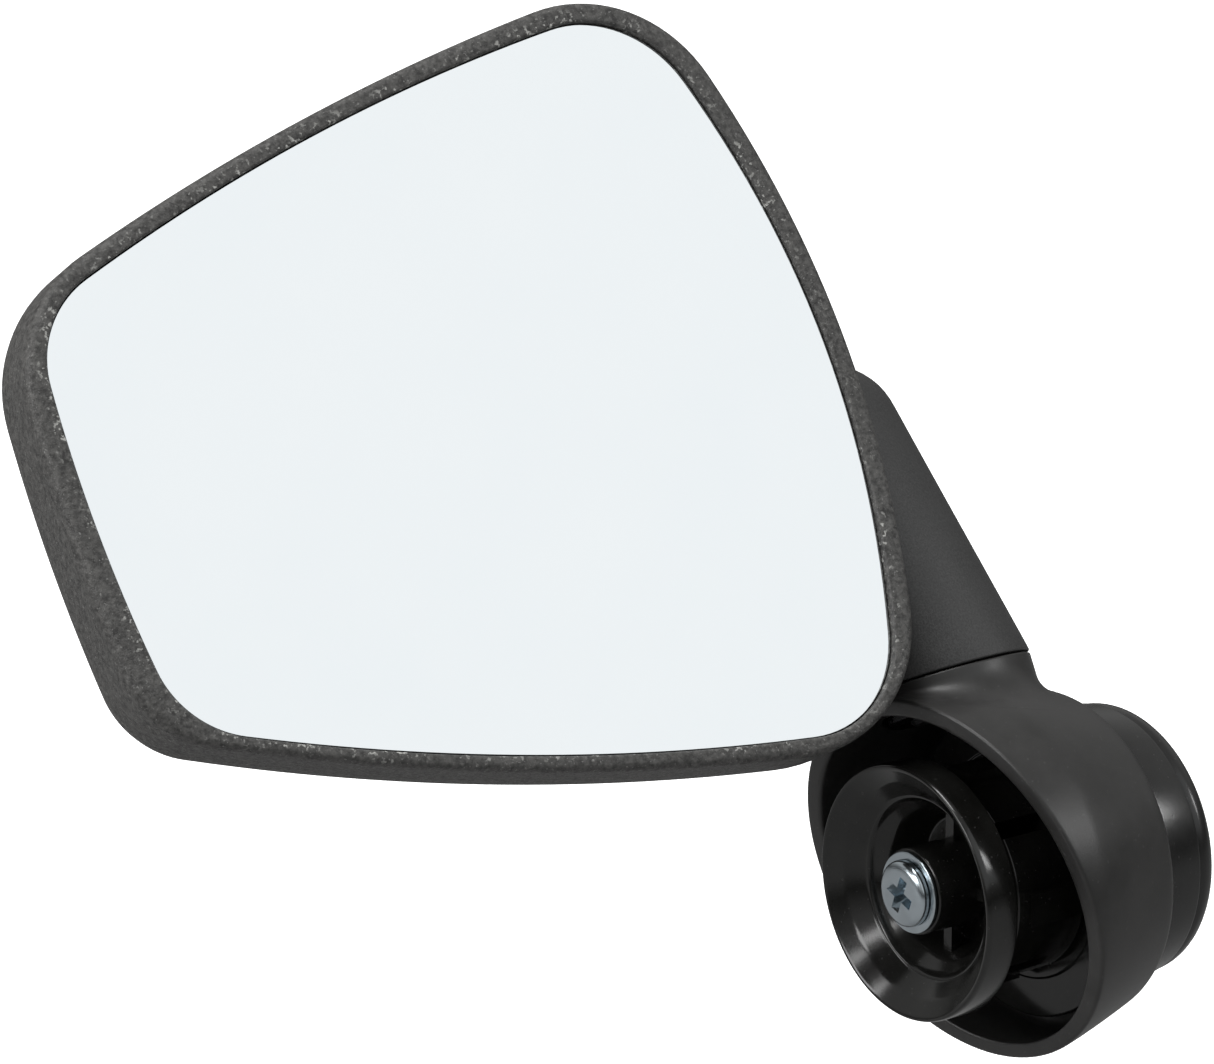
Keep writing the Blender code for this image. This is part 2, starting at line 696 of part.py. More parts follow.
def add_glass(outline, frame, material):
    """A thin convex plate, its front a shallow part of a sphere."""
    middle = Vector(GLASS_MIDDLE)
    edge = offset_outline(outline, -0.17)

    def front_loop(points, share):
        loop = []
        for p in points:
            q = middle + (p - middle) * share
            sink = (q - middle).length_squared / (2 * GLASS_SPHERE)
            loop.append((q.x, GLASS_RECESS - EDGE + sink - FACE_OFFSET, q.y))
        return loop

    back = GLASS_RECESS + GLASS_THICKNESS
    loops = [on_face(edge, back), on_face(edge, GLASS_RECESS + 0.69)]
    loops += [front_loop(offset_outline(edge, -EDGE), share) for share in (1.0, 0.72, 0.42, 0.14)]
    make_loft("mirror_glass", loops, frame, material)


def add_pad(outline, frame, material):
    front = GLASS_RECESS + GLASS_THICKNESS + 0.17
    edge = offset_outline(outline, -1.03)
    loops = [on_face(edge, front), on_face(edge, front + PAD_THICKNESS)]
    make_loft("glass_foam_pad", loops, frame, material)


def arm_section(w):
    """Left, right, back and front edges of the arm at a height up the swivel axis."""
    share = (w - ARM_BOTTOM) / (ARM_TOP - ARM_BOTTOM)
    right = NECK_RADIUS - ARM_EDGE_TAPER * (w - ARM_BOTTOM)
    left = -NECK_RADIUS - 5.57 * share**1.5
    back = NECK_RADIUS - 3.09 * share
    front = -NECK_RADIUS + 3.6 * share
    if w > ARM_SHOULDER:
        rise = (w - ARM_SHOULDER) / (ARM_TOP - ARM_SHOULDER)
        close = sqrt(max(0.0, 1 - rise**2.4))
        middle = (left + right) / 2 - 2.14 * rise
        right = middle + (right - middle) * close
        left = middle + (left - middle) * close
        back, front = back * (0.4 + 0.6 * close), front * (0.4 + 0.6 * close)
    return left, right, back, front


def add_arm(rim, frame, material):
    heights = [ARM_BOTTOM, ARM_BOTTOM + 0.21]
    heights += [ARM_BOTTOM + (ARM_SHOULDER - ARM_BOTTOM) * i / 6 for i in range(1, 7)]
    heights += [ARM_SHOULDER + (ARM_TOP - ARM_SHOULDER) * sin(pi / 2 * i / 6) for i in range(1, 6)]
    loops = []
    for k, w in enumerate(heights):
        left, right, back, front = arm_section(w)
        shrink = 1 - 0.03 * (k == 0)
        loop = []
        for i in range(MEDIUM):
            angle = 2 * pi * i / MEDIUM
            s = (left + right) / 2 + (right - left) / 2 * cos(angle) * shrink
            y = (back if sin(angle) > 0 else -front) * sin(angle) * shrink
            loop.append((s, y, w))
        loops.append(loop)
    arm = make_loft("mirror_arm", loops, frame, material)

    plate = bowed_outline(PLATE_CORNERS, PLATE_BOWS, PLATE_ROUNDING, 6, 5)
    steps = ((0, 0), (0.45, 0), (0.85, -0.69), (1, -1.71))  # share of the thickness, inset
    loops = []
    for share, inset in steps:
        depth = PLATE_FRONT + PLATE_THICKNESS * share
        loops.append(on_face(offset_outline(plate, inset), depth))
    combine(arm, make_loft("arm_plate_guide", loops, frame), "UNION")
    shell = make_loft("housing_cutter", housing_loops(rim, grow=0.26, front=-6), frame)
    combine(arm, shell, "DIFFERENCE")
    recess = [
        (ARM_BOTTOM - 2, 0),
        (ARM_BOTTOM - 2, ARM_RECESS_RADIUS),
        (ARM_RECESS_TOP, ARM_RECESS_RADIUS),
        (ARM_RECESS_TOP, PIN_RADIUS + 0.17),
        (PIN_TOP + 0.34, PIN_RADIUS + 0.17),
        (PIN_TOP + 0.34, 0),
    ]
    combine(arm, make_turned("arm_recess_cutter", recess, frame), "DIFFERENCE")
    front, back, hole = PLATE_FRONT - 1, PLATE_BACK + 8, SMALL_SCREW_RADIUS + EDGE
    for i, (s, w) in enumerate(HOUSING_SCREWS):
        tool = [(front, 0), (front, hole), (HEAD_SEAT, hole)]
        tool += [(HEAD_SEAT, SCREW_HEAD_POCKET), (back, SCREW_HEAD_POCKET), (back, 0)]
        cutter = make_turned(f"screw_pocket_cutter_{i}", tool, frame, segments=SMALL)
        place_across(cutter, s, w)
        combine(arm, cutter, "DIFFERENCE")


def add_housing_screws(frame, material):
    seat = HEAD_SEAT + 0.09
    tip = seat - SMALL_SCREW_LENGTH
    for i, (s, w) in enumerate(HOUSING_SCREWS):
        profile = [
            (tip, 0),
            (tip + 0.69, SMALL_SCREW_RADIUS),
            (seat, SMALL_SCREW_RADIUS),
            (seat, SMALL_HEAD_RADIUS),
            (seat + 0.43, SMALL_HEAD_RADIUS),
            (seat + 0.77, SMALL_HEAD_RADIUS - 0.51),
            (seat + 0.9, 0),
        ]
        screw = make_turned(f"housing_screw_{i + 1}", profile, frame, material, SMALL)
        place_across(screw, s, w)
        for k in range(2):
            low, high = (-0.94, -0.21, seat + 0.39), (0.94, 0.21, seat + 3)
            slot = make_box(f"housing_screw_{i + 1}_slot_cutter_{k}", low, high, frame)
            place_across(slot, s, w)
            slot.rotation_euler.y = pi / 2 * k
            combine(screw, slot, "DIFFERENCE")


def main():
    clear_scene()
    gloss_black = make_material("gloss_black_plastic", (0.012, 0.012, 0.013), 0.18)
    satin_black = make_material("satin_black_plastic", (0.032, 0.032, 0.034), 0.42)
    knob_black = make_material("knob_black_plastic", (0.02, 0.02, 0.021), 0.32)
    grained = make_material("grained_black_plastic", (0.06, 0.058, 0.054), 0.62)
    arm_black = make_material("arm_black_plastic", (0.04, 0.04, 0.04), 0.5)
    silvered = make_material("mirror_glass", (0.86, 0.91, 0.94), 0.03, 1.0)
    foam = make_material("foam_tape", (0.8, 0.8, 0.78), 0.9)
    zinc = make_material("zinc_plated_steel", (0.66, 0.68, 0.7), 0.25, 1.0)
    spring = make_material("spring_steel", (0.42, 0.42, 0.43), 0.3, 1.0)
    nylon = make_material("nylon", (0.7, 0.69, 0.64), 0.5)

    along_bar = Matrix.Rotation(pi / 2, 4, "Y")
    plug = add_frame("plug_frame", along_bar)
    cup = add_frame("cup_frame", along_bar)
    knob = add_frame("knob_frame", along_bar)
    hub = add_frame("hub_frame", along_bar)
    lean = Matrix.Translation((SWIVEL_X * MM, 0, 0)) @ Matrix.Rotation(radians(-SWIVEL_LEAN), 4, "X")
    neck = add_frame("neck_frame", lean)
    head = add_frame("head_frame", Matrix.Rotation(radians(HEAD_TURN), 4, "Z"), parent=neck)

    add_plug_body(plug, gloss_black)
    add_sleeve(plug, gloss_black)
    add_cup(cup, gloss_black)
    add_clamp_screw(cup, zinc)
    washer = ring_profile(*WASHER_X, SCREW_RADIUS + 0.17, WASHER_RADIUS)
    make_turned("clamp_washer", washer, cup, zinc, SMALL)
    add_hub_washers(hub, spring, nylon)
    add_knob(knob, knob_black)
    add_knob_nut(knob, zinc)
    add_hub(hub, neck, satin_black)
    add_swivel(neck, head, spring, nylon)

    outline = bowed_outline(GLASS_CORNERS, GLASS_BOWS, GLASS_ROUNDING)
    rim = bowed_outline(RIM_CORNERS, RIM_BOWS, RIM_ROUNDING)
    add_housing(outline, rim, head, grained)
    add_glass(outline, head, silvered)
    add_pad(outline, head, foam)
    add_arm(rim, head, arm_black)
    add_housing_screws(head, zinc)


main()
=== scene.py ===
"""Bar-end bicycle mirror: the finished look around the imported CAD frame.

Everything is in the row frame: +X along the handlebar and out of its end, +Z up, the glass faces -Y.
Sizes below are millimetres, as in the part's own source; add_mesh turns them into metres.
"""

from math import cos, pi, radians, sin, sqrt, tan

import bmesh
import bpy
from mathutils import Matrix, Vector
from mathutils.kdtree import KDTree


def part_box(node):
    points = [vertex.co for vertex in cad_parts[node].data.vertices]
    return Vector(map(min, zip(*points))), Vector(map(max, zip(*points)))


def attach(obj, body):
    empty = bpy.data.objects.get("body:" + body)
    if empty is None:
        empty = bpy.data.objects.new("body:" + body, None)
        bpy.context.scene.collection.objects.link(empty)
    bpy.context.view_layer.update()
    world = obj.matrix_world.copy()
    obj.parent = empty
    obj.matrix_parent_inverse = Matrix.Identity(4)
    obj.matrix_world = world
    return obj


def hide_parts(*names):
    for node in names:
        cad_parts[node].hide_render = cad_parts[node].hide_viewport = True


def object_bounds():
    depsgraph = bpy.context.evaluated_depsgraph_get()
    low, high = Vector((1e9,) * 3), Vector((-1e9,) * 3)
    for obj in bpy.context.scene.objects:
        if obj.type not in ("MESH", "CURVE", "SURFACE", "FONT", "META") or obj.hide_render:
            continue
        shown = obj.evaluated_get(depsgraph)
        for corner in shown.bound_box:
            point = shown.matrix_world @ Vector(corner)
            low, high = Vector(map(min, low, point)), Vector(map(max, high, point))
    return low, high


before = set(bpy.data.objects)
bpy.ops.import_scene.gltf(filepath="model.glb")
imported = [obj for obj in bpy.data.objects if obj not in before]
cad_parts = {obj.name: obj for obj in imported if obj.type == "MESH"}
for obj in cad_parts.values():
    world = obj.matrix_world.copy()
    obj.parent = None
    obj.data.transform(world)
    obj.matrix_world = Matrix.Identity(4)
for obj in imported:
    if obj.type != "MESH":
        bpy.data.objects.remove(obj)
cad_low, cad_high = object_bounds()

MM = 0.001
GAP = 0.22  # clearance round the spindle, the bush and the screws
EDGE = 0.26  # small edges and allowances
BEVEL = 0.43  # the larger chamfers
PLAY = 0.17  # a close fit round the pin and in the holes for the screws
SWIVEL_GAP = 0.36  # between the neck and the arm in the CAD

# Plug, measured along the bar's axis from the seat plane
CUP_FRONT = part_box("expander_cup")[0].x / MM
CUP_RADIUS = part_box("expander_cup")[1].y / MM
CUP_BAND = 2.74
CUP_FUNNEL_RADIUS = 6.77
CUP_CONE_RADIUS = 6.34
CUP_CONE_SLOPE = 0.34
CUP_LENGTH = 7.29
CUP_WALL = 0.6
CUP_POCKET = 2.06
CUP_FUNNEL = ((0.86, 7.89), (0.21, 8.83), (0, 9.13))  # (depth, radius) from the pocket to the rim
CUP_RIB_DEPTH = 4.2
CUP_RIB_INSET = 0.51
CUP_RIB_HALF_WIDTH = 0.43
CUP_DRAW = 1.25
POST_TOP = CUP_FRONT + 0.77
POST_RADIUS = 3.17
POST_FLOOR = 1.37
SLEEVE_FRONT = -6.6
SLEEVE_RADIUS = 7.63
SLEEVE_RIB_RADIUS = 8.31
SLEEVE_RIB_HALF_WIDTH = 1.2
SLOT_WIDTH = 1.37
SLEEVE_WEB = -1.71
SLEEVE_THROAT = 1.37
SLEEVE_PLAY = 0.15  # between the sleeve and the cup when the cup is drawn right in
SEAT_RADIUS = 11.4
SEAT_INNER_RADIUS = 8.5
SEAT_STEP = 0.1
SEAT_THICKNESS = 1.29
TUBE_FRONT = -1.89
TUBE_RADIUS = 3.94
SPINDLE_RADIUS = 4.29
SPINDLE_END = 5.06
SCREW_RADIUS = 1.16
SCREW_BORE = 1.63
SCREW_END = 7.2
SCREW_SEAT = CUP_FRONT + 0.34
SCREW_HEAD_RADIUS = 2.45
SCREW_HEAD_HEIGHT = 0.75
WASHER_X = (CUP_FRONT + 0.43, CUP_FRONT + 0.69)
WASHER_RADIUS = 3.0
CROSS_TURN = 20.0

# Hub
MOUTH_X = -6.34
MOUTH_TILT = 15.0
MOUTH_ROUND = 0.3
DRUM_RADIUS = 14.06
DRUM_BORE = 12.64
DRUM_TAPER_X = -3.86
DRUM_BACK_RADIUS = 11.91
DRUM_FLOOR = 2.14
DRUM_FLOOR_ROUND = 1.03
DRUM_BACK = 4.63
DRUM_BACK_ROUND = 0.77
RECESS_RADIUS = 7.37
RECESS_FLOOR = 3.6
SWIVEL_LEAN = 28.0
SWIVEL_X = -2.57
NECK_RADIUS = 7.2
NECK_TOP = 14.35
NECK_FILLET = 2.23
NECK_LIP = 0.15
CLIP_RADIUS = 4.11
CLIP_PLAY = 0.43
CLIP_POCKET_TOP = 12.9
BUSH_RADIUS = 3.34
BUSH_PLAY = 0.09

# Knob
KNOB_FRONT = 4.89
KNOB_RADIUS = 10.37
KNOB_END = 10.54
KNOB_BOSS_RADIUS = 7.11
KNOB_SKIRT_BORE = 9.09
KNOB_FACE_WALL = 1.71
KNOB_SHOULDER = ((1.6, 0.26), (0, 0.3), (0, 2.4))  # (depth below the face, inset from the side)
KNOB_DISH = ((0.1, 7.2), (0.4, 6.6), (0.55, 5.1), (0.64, 0))  # (depth below the face, radius)
NUT_FLATS = 5.0
NUT_HEIGHT = 2.0
SOCKET_FLATS = 4.29
SOCKET_DEPTH = 2.06

# Mirror head
HEAD_TURN = -10.7
FACE_OFFSET = 9.43
GLASS_CORNERS = ((-8.4, 11.23), (-12.51, 66.0), (-62.23, 52.71), (-59.83, 23.14))
GLASS_BOWS = (5.31, 2.14, 1.03, 2.06)
GLASS_ROUNDING = (6.43, 6.51, 4.8, 4.29)
GLASS_MIDDLE = (-34.29, 38.57)
GLASS_SPHERE = 1000.0
GLASS_THICKNESS = 1.71
GLASS_RECESS = 0.3
GLASS_INSET = 0.05
RIM_CORNERS = ((-6.94, 9.77), (-11.31, 67.89), (-64.03, 53.57), (-62.23, 23.14))
RIM_BOWS = (5.57, 2.06, 0.86, 2.31)
RIM_ROUNDING = (9.17, 8.49, 6.94, 4.03)
RIM_EDGE = 1.0
INNER_LIP = 0.21
WEAR_REACH = 0.9  # how far from the inner lip the chips reach
BED_INSET = 1.71
WELL_INSET = 1.29
HOUSING_DEPTH = 9.43
HOUSING_ROUND = 4.29
HOUSING_WALL = 1.37
PAD_THICKNESS = 0.86
GLASS_SEAT = GLASS_RECESS + GLASS_THICKNESS + PAD_THICKNESS + 0.51
HOUSING_FLOOR = HOUSING_DEPTH - HOUSING_WALL
RIBS = (
    ((-51.4, 20.6), (-50.4, 56.6)),
    ((-36.0, 14.6), (-35.0, 61.7)),
    ((-28.3, 12.9), (-27.3, 63.4)),
    ((-63.4, 32.6), (-5.1, 33.6)),
)

# Arm
PIN_RADIUS = 2.57
PIN_TOP = 29.14
ARM_BOTTOM = NECK_TOP + SWIVEL_GAP
ARM_RECESS_RADIUS = 5.49
SEAM = 0.14  # the seam that shows between the neck and the arm
ARM_RECESS_TOP = NECK_TOP + 2.83
ARM_TOP = 39.77
ARM_SHOULDER = 34.29
ARM_EDGE_TAPER = 0.215
ARM_SPREAD = 5.57
ARM_BACK_TAPER = 3.09
ARM_FRONT_TAPER = 3.6
ARM_TOP_LEAN = 2.14
PLATE_GAP = 0.26  # between the arm and the housing's outer skin
PLATE_FRONT = HOUSING_DEPTH + PLATE_GAP
PLATE_THICKNESS = 2.06
PLATE_BACK = PLATE_FRONT + PLATE_THICKNESS
HEAD_SEAT = PLATE_BACK - 1.11
PLATE_CORNERS = ((-7.71, 18.43), (-13.29, 57.43), (-51.43, 47.14), (-49.71, 28.29))
PLATE_BOWS = (3.0, 1.29, 0.86, 1.29)
PLATE_ROUNDING = (6.86, 7.71, 6.86, 6.86)
HOUSING_SCREWS = ((-17.57, 49.71), (-43.71, 40.29), (-21.43, 23.57))
SCREW_HEAD_POCKET = 2.23
BOSS_RADIUS = 2.23
SMALL_SCREW_RADIUS = 0.94
SMALL_HEAD_RADIUS = 1.89
SMALL_HEAD_HEIGHT = 0.9
SMALL_SCREW_LENGTH = 5.57

# Segments of large and of small turned surfaces
ROUND = 144
SMALL = 64

# Studio: strengths of the world and the floor, and the camera in metres
WALL_LIGHT = 0.04
CEILING_LIGHT = 0.5
CEILING_EDGE = 0.4  # the sine of the height at which the ceiling begins
FLOOR_SIZE = 6.0
FLOOR_GLOW = 0.85
FLOOR_SEEN_BY_OBJECT = (0.32, 0.32, 0.32)
CAMERA_AZIMUTH = -36.77
CAMERA_ELEVATION = 16.54
CAMERA_DISTANCE = 0.42857
CAMERA_LENS = 177.92
CAMERA_TARGET = Vector((-0.02336, 0.01857, 0.02479))

# Frames: local Z runs along the bar, up the swivel axis, or back through the head at one of its screws
BAR = Matrix.Rotation(pi / 2, 4, "Y")
NECK = Matrix.Translation((SWIVEL_X, 0, 0)) @ Matrix.Rotation(radians(-SWIVEL_LEAN), 4, "X")
HEAD = NECK @ Matrix.Rotation(radians(HEAD_TURN), 4, "Z")


def across(s, w):
    """The frame of a housing screw, s across the head and w up the swivel axis."""
    return HEAD @ Matrix.Translation((s, -FACE_OFFSET, w)) @ Matrix.Rotation(-pi / 2, 4, "X")


# Mesh helpers


def add_mesh(name, points, faces, matrix):
    """A closed mesh from millimetre points in a local frame, its faces turned outwards."""
    mesh = bpy.data.meshes.new(name)
    mesh.from_pydata([(matrix @ Vector(p)) * MM for p in points], [], faces)
    work = bmesh.new()
    work.from_mesh(mesh)
    bmesh.ops.recalc_face_normals(work, faces=work.faces)
    work.to_mesh(mesh)
    work.free()
    obj = bpy.data.objects.new(name, mesh)
    bpy.context.scene.collection.objects.link(obj)
    return obj


def loft(name, loops, matrix):
    """A skin through loops of equal length, closed at both ends."""
    count = len(loops[0])
    points = [p for loop in loops for p in loop]
    faces = [list(range(count)), list(range(len(points) - count, len(points)))]
    for level in range(len(loops) - 1):
        for i in range(count):
            a = level * count + i
            b = level * count + (i + 1) % count
            faces.append((a, b, b + count, a + count))
    return add_mesh(name, points, faces, matrix)


def turned(name, profile, matrix, segments=ROUND):
    """A closed profile of (z, radius) turned about local Z. A radius of 0 is a point on the axis."""
    points, starts = [], []
    for z, radius in profile:
        starts.append(len(points))
        if radius == 0:
            points.append((0, 0, z))
            continue
        for i in range(segments):
            angle = 2 * pi * i / segments
            points.append((radius * cos(angle), radius * sin(angle), z))
    faces = []
    for k, (_, radius) in enumerate(profile):
        after = (k + 1) % len(profile)
        if radius == 0 and profile[after][1] == 0:
            continue
        for i in range(segments):
            j = (i + 1) % segments
            low = [starts[k]] if radius == 0 else [starts[k] + i, starts[k] + j]
            high = [starts[after]] if profile[after][1] == 0 else [starts[after] + j, starts[after] + i]
            faces.append(low + high)
    return add_mesh(name, points, faces, matrix)


def prism(name, outline, low, high, matrix):
    """An outline of (x, y) extruded along local Z."""
    return loft(name, [[(x, y, z) for x, y in outline] for z in (low, high)], matrix)


def block(name, low, high, matrix):
    """A box between two corners."""
    outline = [(low[0], low[1]), (high[0], low[1]), (high[0], high[1]), (low[0], high[1])]
    return prism(name, outline, low[2], high[2], matrix)


def slab(name, outline, half_width, matrix):
    """An outline of (x, z) extruded both ways along local Y."""
    return loft(name, [[(x, y, z) for x, z in outline] for y in (-half_width, half_width)], matrix)


def polygon(sides, flats):
    """A regular polygon, given its size across flats."""
    radius = flats / 2 / cos(pi / sides)
    return [(radius * cos(2 * pi * i / sides), radius * sin(2 * pi * i / sides)) for i in range(sides)]


def ring(low, high, inner, outer):
    """The profile of a plain ring, or of a cylinder where inner is 0."""
    return [(low, inner), (low, outer), (high, outer), (high, inner)]


def curve(a, corner, b, steps):
    """Points of a quadratic curve from a towards the corner and on to b."""
    a, corner, b = Vector(a), Vector(corner), Vector(b)
    shares = [i / steps for i in range(steps + 1)]
    return [a * (1 - t) ** 2 + corner * 2 * t * (1 - t) + b * t * t for t in shares]


def soften(profile, radius, steps=4):
    """The same profile with its corners rounded. Points on the axis stay."""
    made = []
    for i, point in enumerate(profile):
        before, after = profile[i - 1], profile[(i + 1) % len(profile)]
        if point[1] == 0:
            made.append(tuple(point))
            continue
        here = Vector(point)
        back, on = Vector(before) - here, Vector(after) - here
        a = here + back.normalized() * min(radius, back.length * 0.45)
        b = here + on.normalized() * min(radius, on.length * 0.45)
        made += [tuple(p) for p in curve(a, here, b, steps)]
    return made


def combine(target, tool, operation):
    """Join a tool to its target or cut it away, for good."""
    modifier = target.modifiers.new("boolean", "BOOLEAN")
    modifier.operation = operation
    modifier.object = tool
    modifier.solver = "EXACT"
    graph = bpy.context.evaluated_depsgraph_get()
    mesh = bpy.data.meshes.new_from_object(target.evaluated_get(graph))
    target.modifiers.clear()
    target.data = mesh
    bpy.data.objects.remove(tool)


def settle(obj, body, nodes, material, sharp=38):
    """Shade a finished piece, give it its material and its place in the frame."""
    mesh = obj.data
    mesh.shade_smooth()
    mesh.set_sharp_from_angle(angle=radians(sharp))
    mesh.materials.clear()
    mesh.materials.append(material)
    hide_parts(*nodes)
    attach(obj, body)


# Outlines on the mirror's face


def bowed_outline(corners, bows, rounding, per_edge=26, per_corner=18):
    """A four-cornered outline with bowed edges. Each corner is a Bezier curve between its two edges."""
    corners = [Vector(c) for c in corners]

    def edge_point(i, t):
        start, end = corners[i], corners[(i + 1) % 4]
        run = end - start
        outward = Vector((run.y, -run.x)).normalized()
        return start + run * t + outward * (4 * bows[i] * t * (1 - t))

    def edge_direction(i, t):
        return (edge_point(i, t + 0.001) - edge_point(i, t - 0.001)).normalized()

    lengths = [(corners[(i + 1) % 4] - corners[i]).length for i in range(4)]
    outline = []
    for i in range(4):
        before, cut = (i - 1) % 4, rounding[i]
        leave, join = 1 - cut / lengths[before], cut / lengths[i]
        a, d = edge_point(before, leave), edge_point(i, join)
        b = a + edge_direction(before, leave) * cut * 0.62
        c = d - edge_direction(i, join) * cut * 0.62
        for k in range(per_corner):
            t = k / per_corner
            outline.append(
                a * (1 - t) ** 3 + b * 3 * t * (1 - t) ** 2 + c * 3 * t**2 * (1 - t) + d * t**3
            )
        end = 1 - rounding[(i + 1) % 4] / lengths[i]
        for k in range(per_edge):
            outline.append(edge_point(i, join + (end - join) * k / per_edge))
    return outline


def offset_outline(outline, distance):
    """Each point moved outwards along the outline's normal there."""
    moved = []
    for i, point in enumerate(outline):
        along = outline[(i + 1) % len(outline)] - outline[i - 1]
        moved.append(point + Vector((along.y, -along.x)).normalized() * distance)
    return moved


def on_face(outline, depth):
    """An outline of the head as a loop that lies depth behind its rim."""
    return [(p.x, depth - FACE_OFFSET, p.y) for p in outline]


def rounded_lip(outline, start, corner, end, steps=5):
    """Loops round an edge: each place is (offset from the outline, depth behind the rim)."""
    return [on_face(offset_outline(outline, p.x), p.y) for p in curve(start, corner, end, steps)]


def rim_roll(outline, rim, steps=9):
    """Loops from the middle of the rim's face, over its rounded outer edge and onto the side wall."""
    loops = []
    for i in range(steps + 1):
        t = i / steps
        share = 0.5 * (1 - t) ** 2 + 2 * t * (1 - t) + t * t
        points = [inner + (outer - inner) * share for inner, outer in zip(outline, rim)]
        loops.append(on_face(points, RIM_EDGE * t * t))
    return loops


def housing_loops(rim, grow=0.0, front=0.0, steps=12):
    """The housing's outer skin from its rim back: a straight wall that rounds over onto the back."""
    straight = HOUSING_DEPTH - HOUSING_ROUND
    loops = [on_face(offset_outline(rim, grow), front + (straight - front) * i / 5) for i in range(5)]
    for i in range(steps + 1):
        angle = pi / 2 * i / steps
        inset = (HOUSING_ROUND + grow) * (1 - cos(angle))
        depth = straight + (HOUSING_ROUND + grow) * sin(angle)
        loops.append(on_face(offset_outline(rim, grow - inset), depth))
    return loops


# Materials


def is_socket(value):
    return isinstance(value, bpy.types.NodeSocket)


def add_node(tree, kind, inputs=None, **settings):
    """A shader node. An input's value is a socket to link from, or a constant."""
    node = tree.nodes.new(kind)
    for key, value in settings.items():
        setattr(node, key, value)
    for key, value in (inputs or {}).items():
        if is_socket(value):
            tree.links.new(value, node.inputs[key])
        else:
            node.inputs[key].default_value = value
    return node


def noise(tree, place, size, detail=2.0, roughness=0.5):
    """Noise whose features are about as large as size, in millimetres."""
    inputs = {"Vector": place, "Scale": 1 / (size * MM), "Detail": detail, "Roughness": roughness}
    return add_node(tree, "ShaderNodeTexNoise", inputs).outputs["Fac"]


def cells(tree, place, size):
    """Distance to the middle of the nearest cell, for cells about as large as size, in millimetres."""
    inputs = {"Vector": place, "Scale": 1 / (size * MM)}
    return add_node(tree, "ShaderNodeTexVoronoi", inputs, feature="F1").outputs["Distance"]


def spread(tree, value, low, high, bottom=0.0, top=1.0):
    """The value between low and high, stretched to run from bottom to top."""
    inputs = {"Value": value, "From Min": low, "From Max": high, "To Min": bottom, "To Max": top}
    return add_node(tree, "ShaderNodeMapRange", inputs).outputs["Result"]


def times(tree, a, b):
    return add_node(tree, "ShaderNodeMath", {0: a, 1: b}, operation="MULTIPLY").outputs["Value"]


def plus(tree, a, b):
    return add_node(tree, "ShaderNodeMath", {0: a, 1: b}, operation="ADD").outputs["Value"]


def blend_colour(tree, share, a, b):
    """Colour a where share is 0 and colour b where it is 1: a Mix node's inputs 6 and 7."""
    a, b = (value if is_socket(value) else (*value, 1.0) for value in (a, b))
    return add_node(tree, "ShaderNodeMix", {"Factor": share, 6: a, 7: b}, data_type="RGBA").outputs[2]


def bump(tree, height, depth):
    """Surface relief: depth is its height in millimetres."""
    inputs = {"Height": height, "Distance": depth * MM, "Strength": 1.0}
    return add_node(tree, "ShaderNodeBump", inputs).outputs["Normal"]


def start_material(name):
    """A material, its node tree, its shader and the place on the object in metres."""
    material = bpy.data.materials.new(name)
    material.use_nodes = True
    tree = material.node_tree
    place = add_node(tree, "ShaderNodeTexCoord").outputs["Object"]
    return material, tree, tree.nodes["Principled BSDF"], place


def dress(tree, shader, colour, roughness=None, normal=None, **constants):
    """Link what varies over the surface, and set what doesn't."""
    for key, socket in (("Base Color", colour), ("Roughness", roughness), ("Normal", normal)):
        if socket is not None:
            tree.links.new(socket, shader.inputs[key])
    for key, value in constants.items():
        shader.inputs[key.replace("_", " ")].default_value = value


def grained_plastic(name):
    """Coarse sparked grain with its pits painted darker as shade, brown-grey mottling and a few pale
    chips on worn edges.
    """
    material, tree, shader, place = start_material(name)
    # The pit colour is painted shade for the hollows of the grain; the grain colour is for its tops.
    pit_shade, grain, brown = (0.02, 0.0195, 0.019), (0.1, 0.098, 0.094), (0.07, 0.068, 0.065)
    fleck, chip = (0.34, 0.34, 0.33), (0.42, 0.42, 0.4)
    coarse = noise(tree, place, 0.42, 3.0, 0.65)
    fine = noise(tree, place, 0.15, 2.0, 0.6)
    mottle = noise(tree, place, 6.0, 2.0)
    height = plus(tree, times(tree, coarse, 0.7), times(tree, fine, 0.4))
    # Painted shade: where the coarse noise is low the relief sinks, and there the colour turns to the
    # dark pit colour.
    base = blend_colour(tree, spread(tree, coarse, 0.34, 0.68), pit_shade, grain)
    base = blend_colour(tree, spread(tree, mottle, 0.3, 0.7, 0.0, 0.3), base, brown)
    flecks = spread(tree, noise(tree, place, 0.2, 1.0), 0.67, 0.74)
    base = blend_colour(tree, times(tree, flecks, 0.35), base, fleck)
    wear = add_node(tree, "ShaderNodeAttribute", attribute_name="wear").outputs["Fac"]
    patches = spread(tree, noise(tree, place, 4.0, 1.0), 0.4, 0.62)
    chips = spread(tree, noise(tree, place, 0.4, 2.0, 0.6), 0.58, 0.66)
    worn = times(tree, times(tree, chips, patches), wear)
    base = blend_colour(tree, worn, base, chip)
    rough = spread(tree, fine, 0.3, 0.7, 0.45, 0.7)
    dress(tree, shader, base, rough, bump(tree, height, 0.1), Specular_IOR_Level=0.45)
    return material


def arm_plastic(name):
    """Fine even matt grain, its hollows painted darker as shade."""
    material, tree, shader, place = start_material(name)
    pit_shade, grey, cloudy = (0.016, 0.016, 0.016), (0.042, 0.042, 0.042), (0.04, 0.04, 0.04)
    grain = noise(tree, place, 0.14, 3.0, 0.6)
    cloud = noise(tree, place, 3.5, 3.0)
    # Painted shade: the low points of the grain's relief get the dark pit colour.
    base = blend_colour(tree, spread(tree, grain, 0.35, 0.68), pit_shade, grey)
    base = blend_colour(tree, spread(tree, cloud, 0.35, 0.7, 0.0, 0.35), base, cloudy)
    rough = spread(tree, cloud, 0.3, 0.7, 0.44, 0.56)
    dress(tree, shader, base, rough, bump(tree, grain, 0.03), Specular_IOR_Level=0.5)
    return material


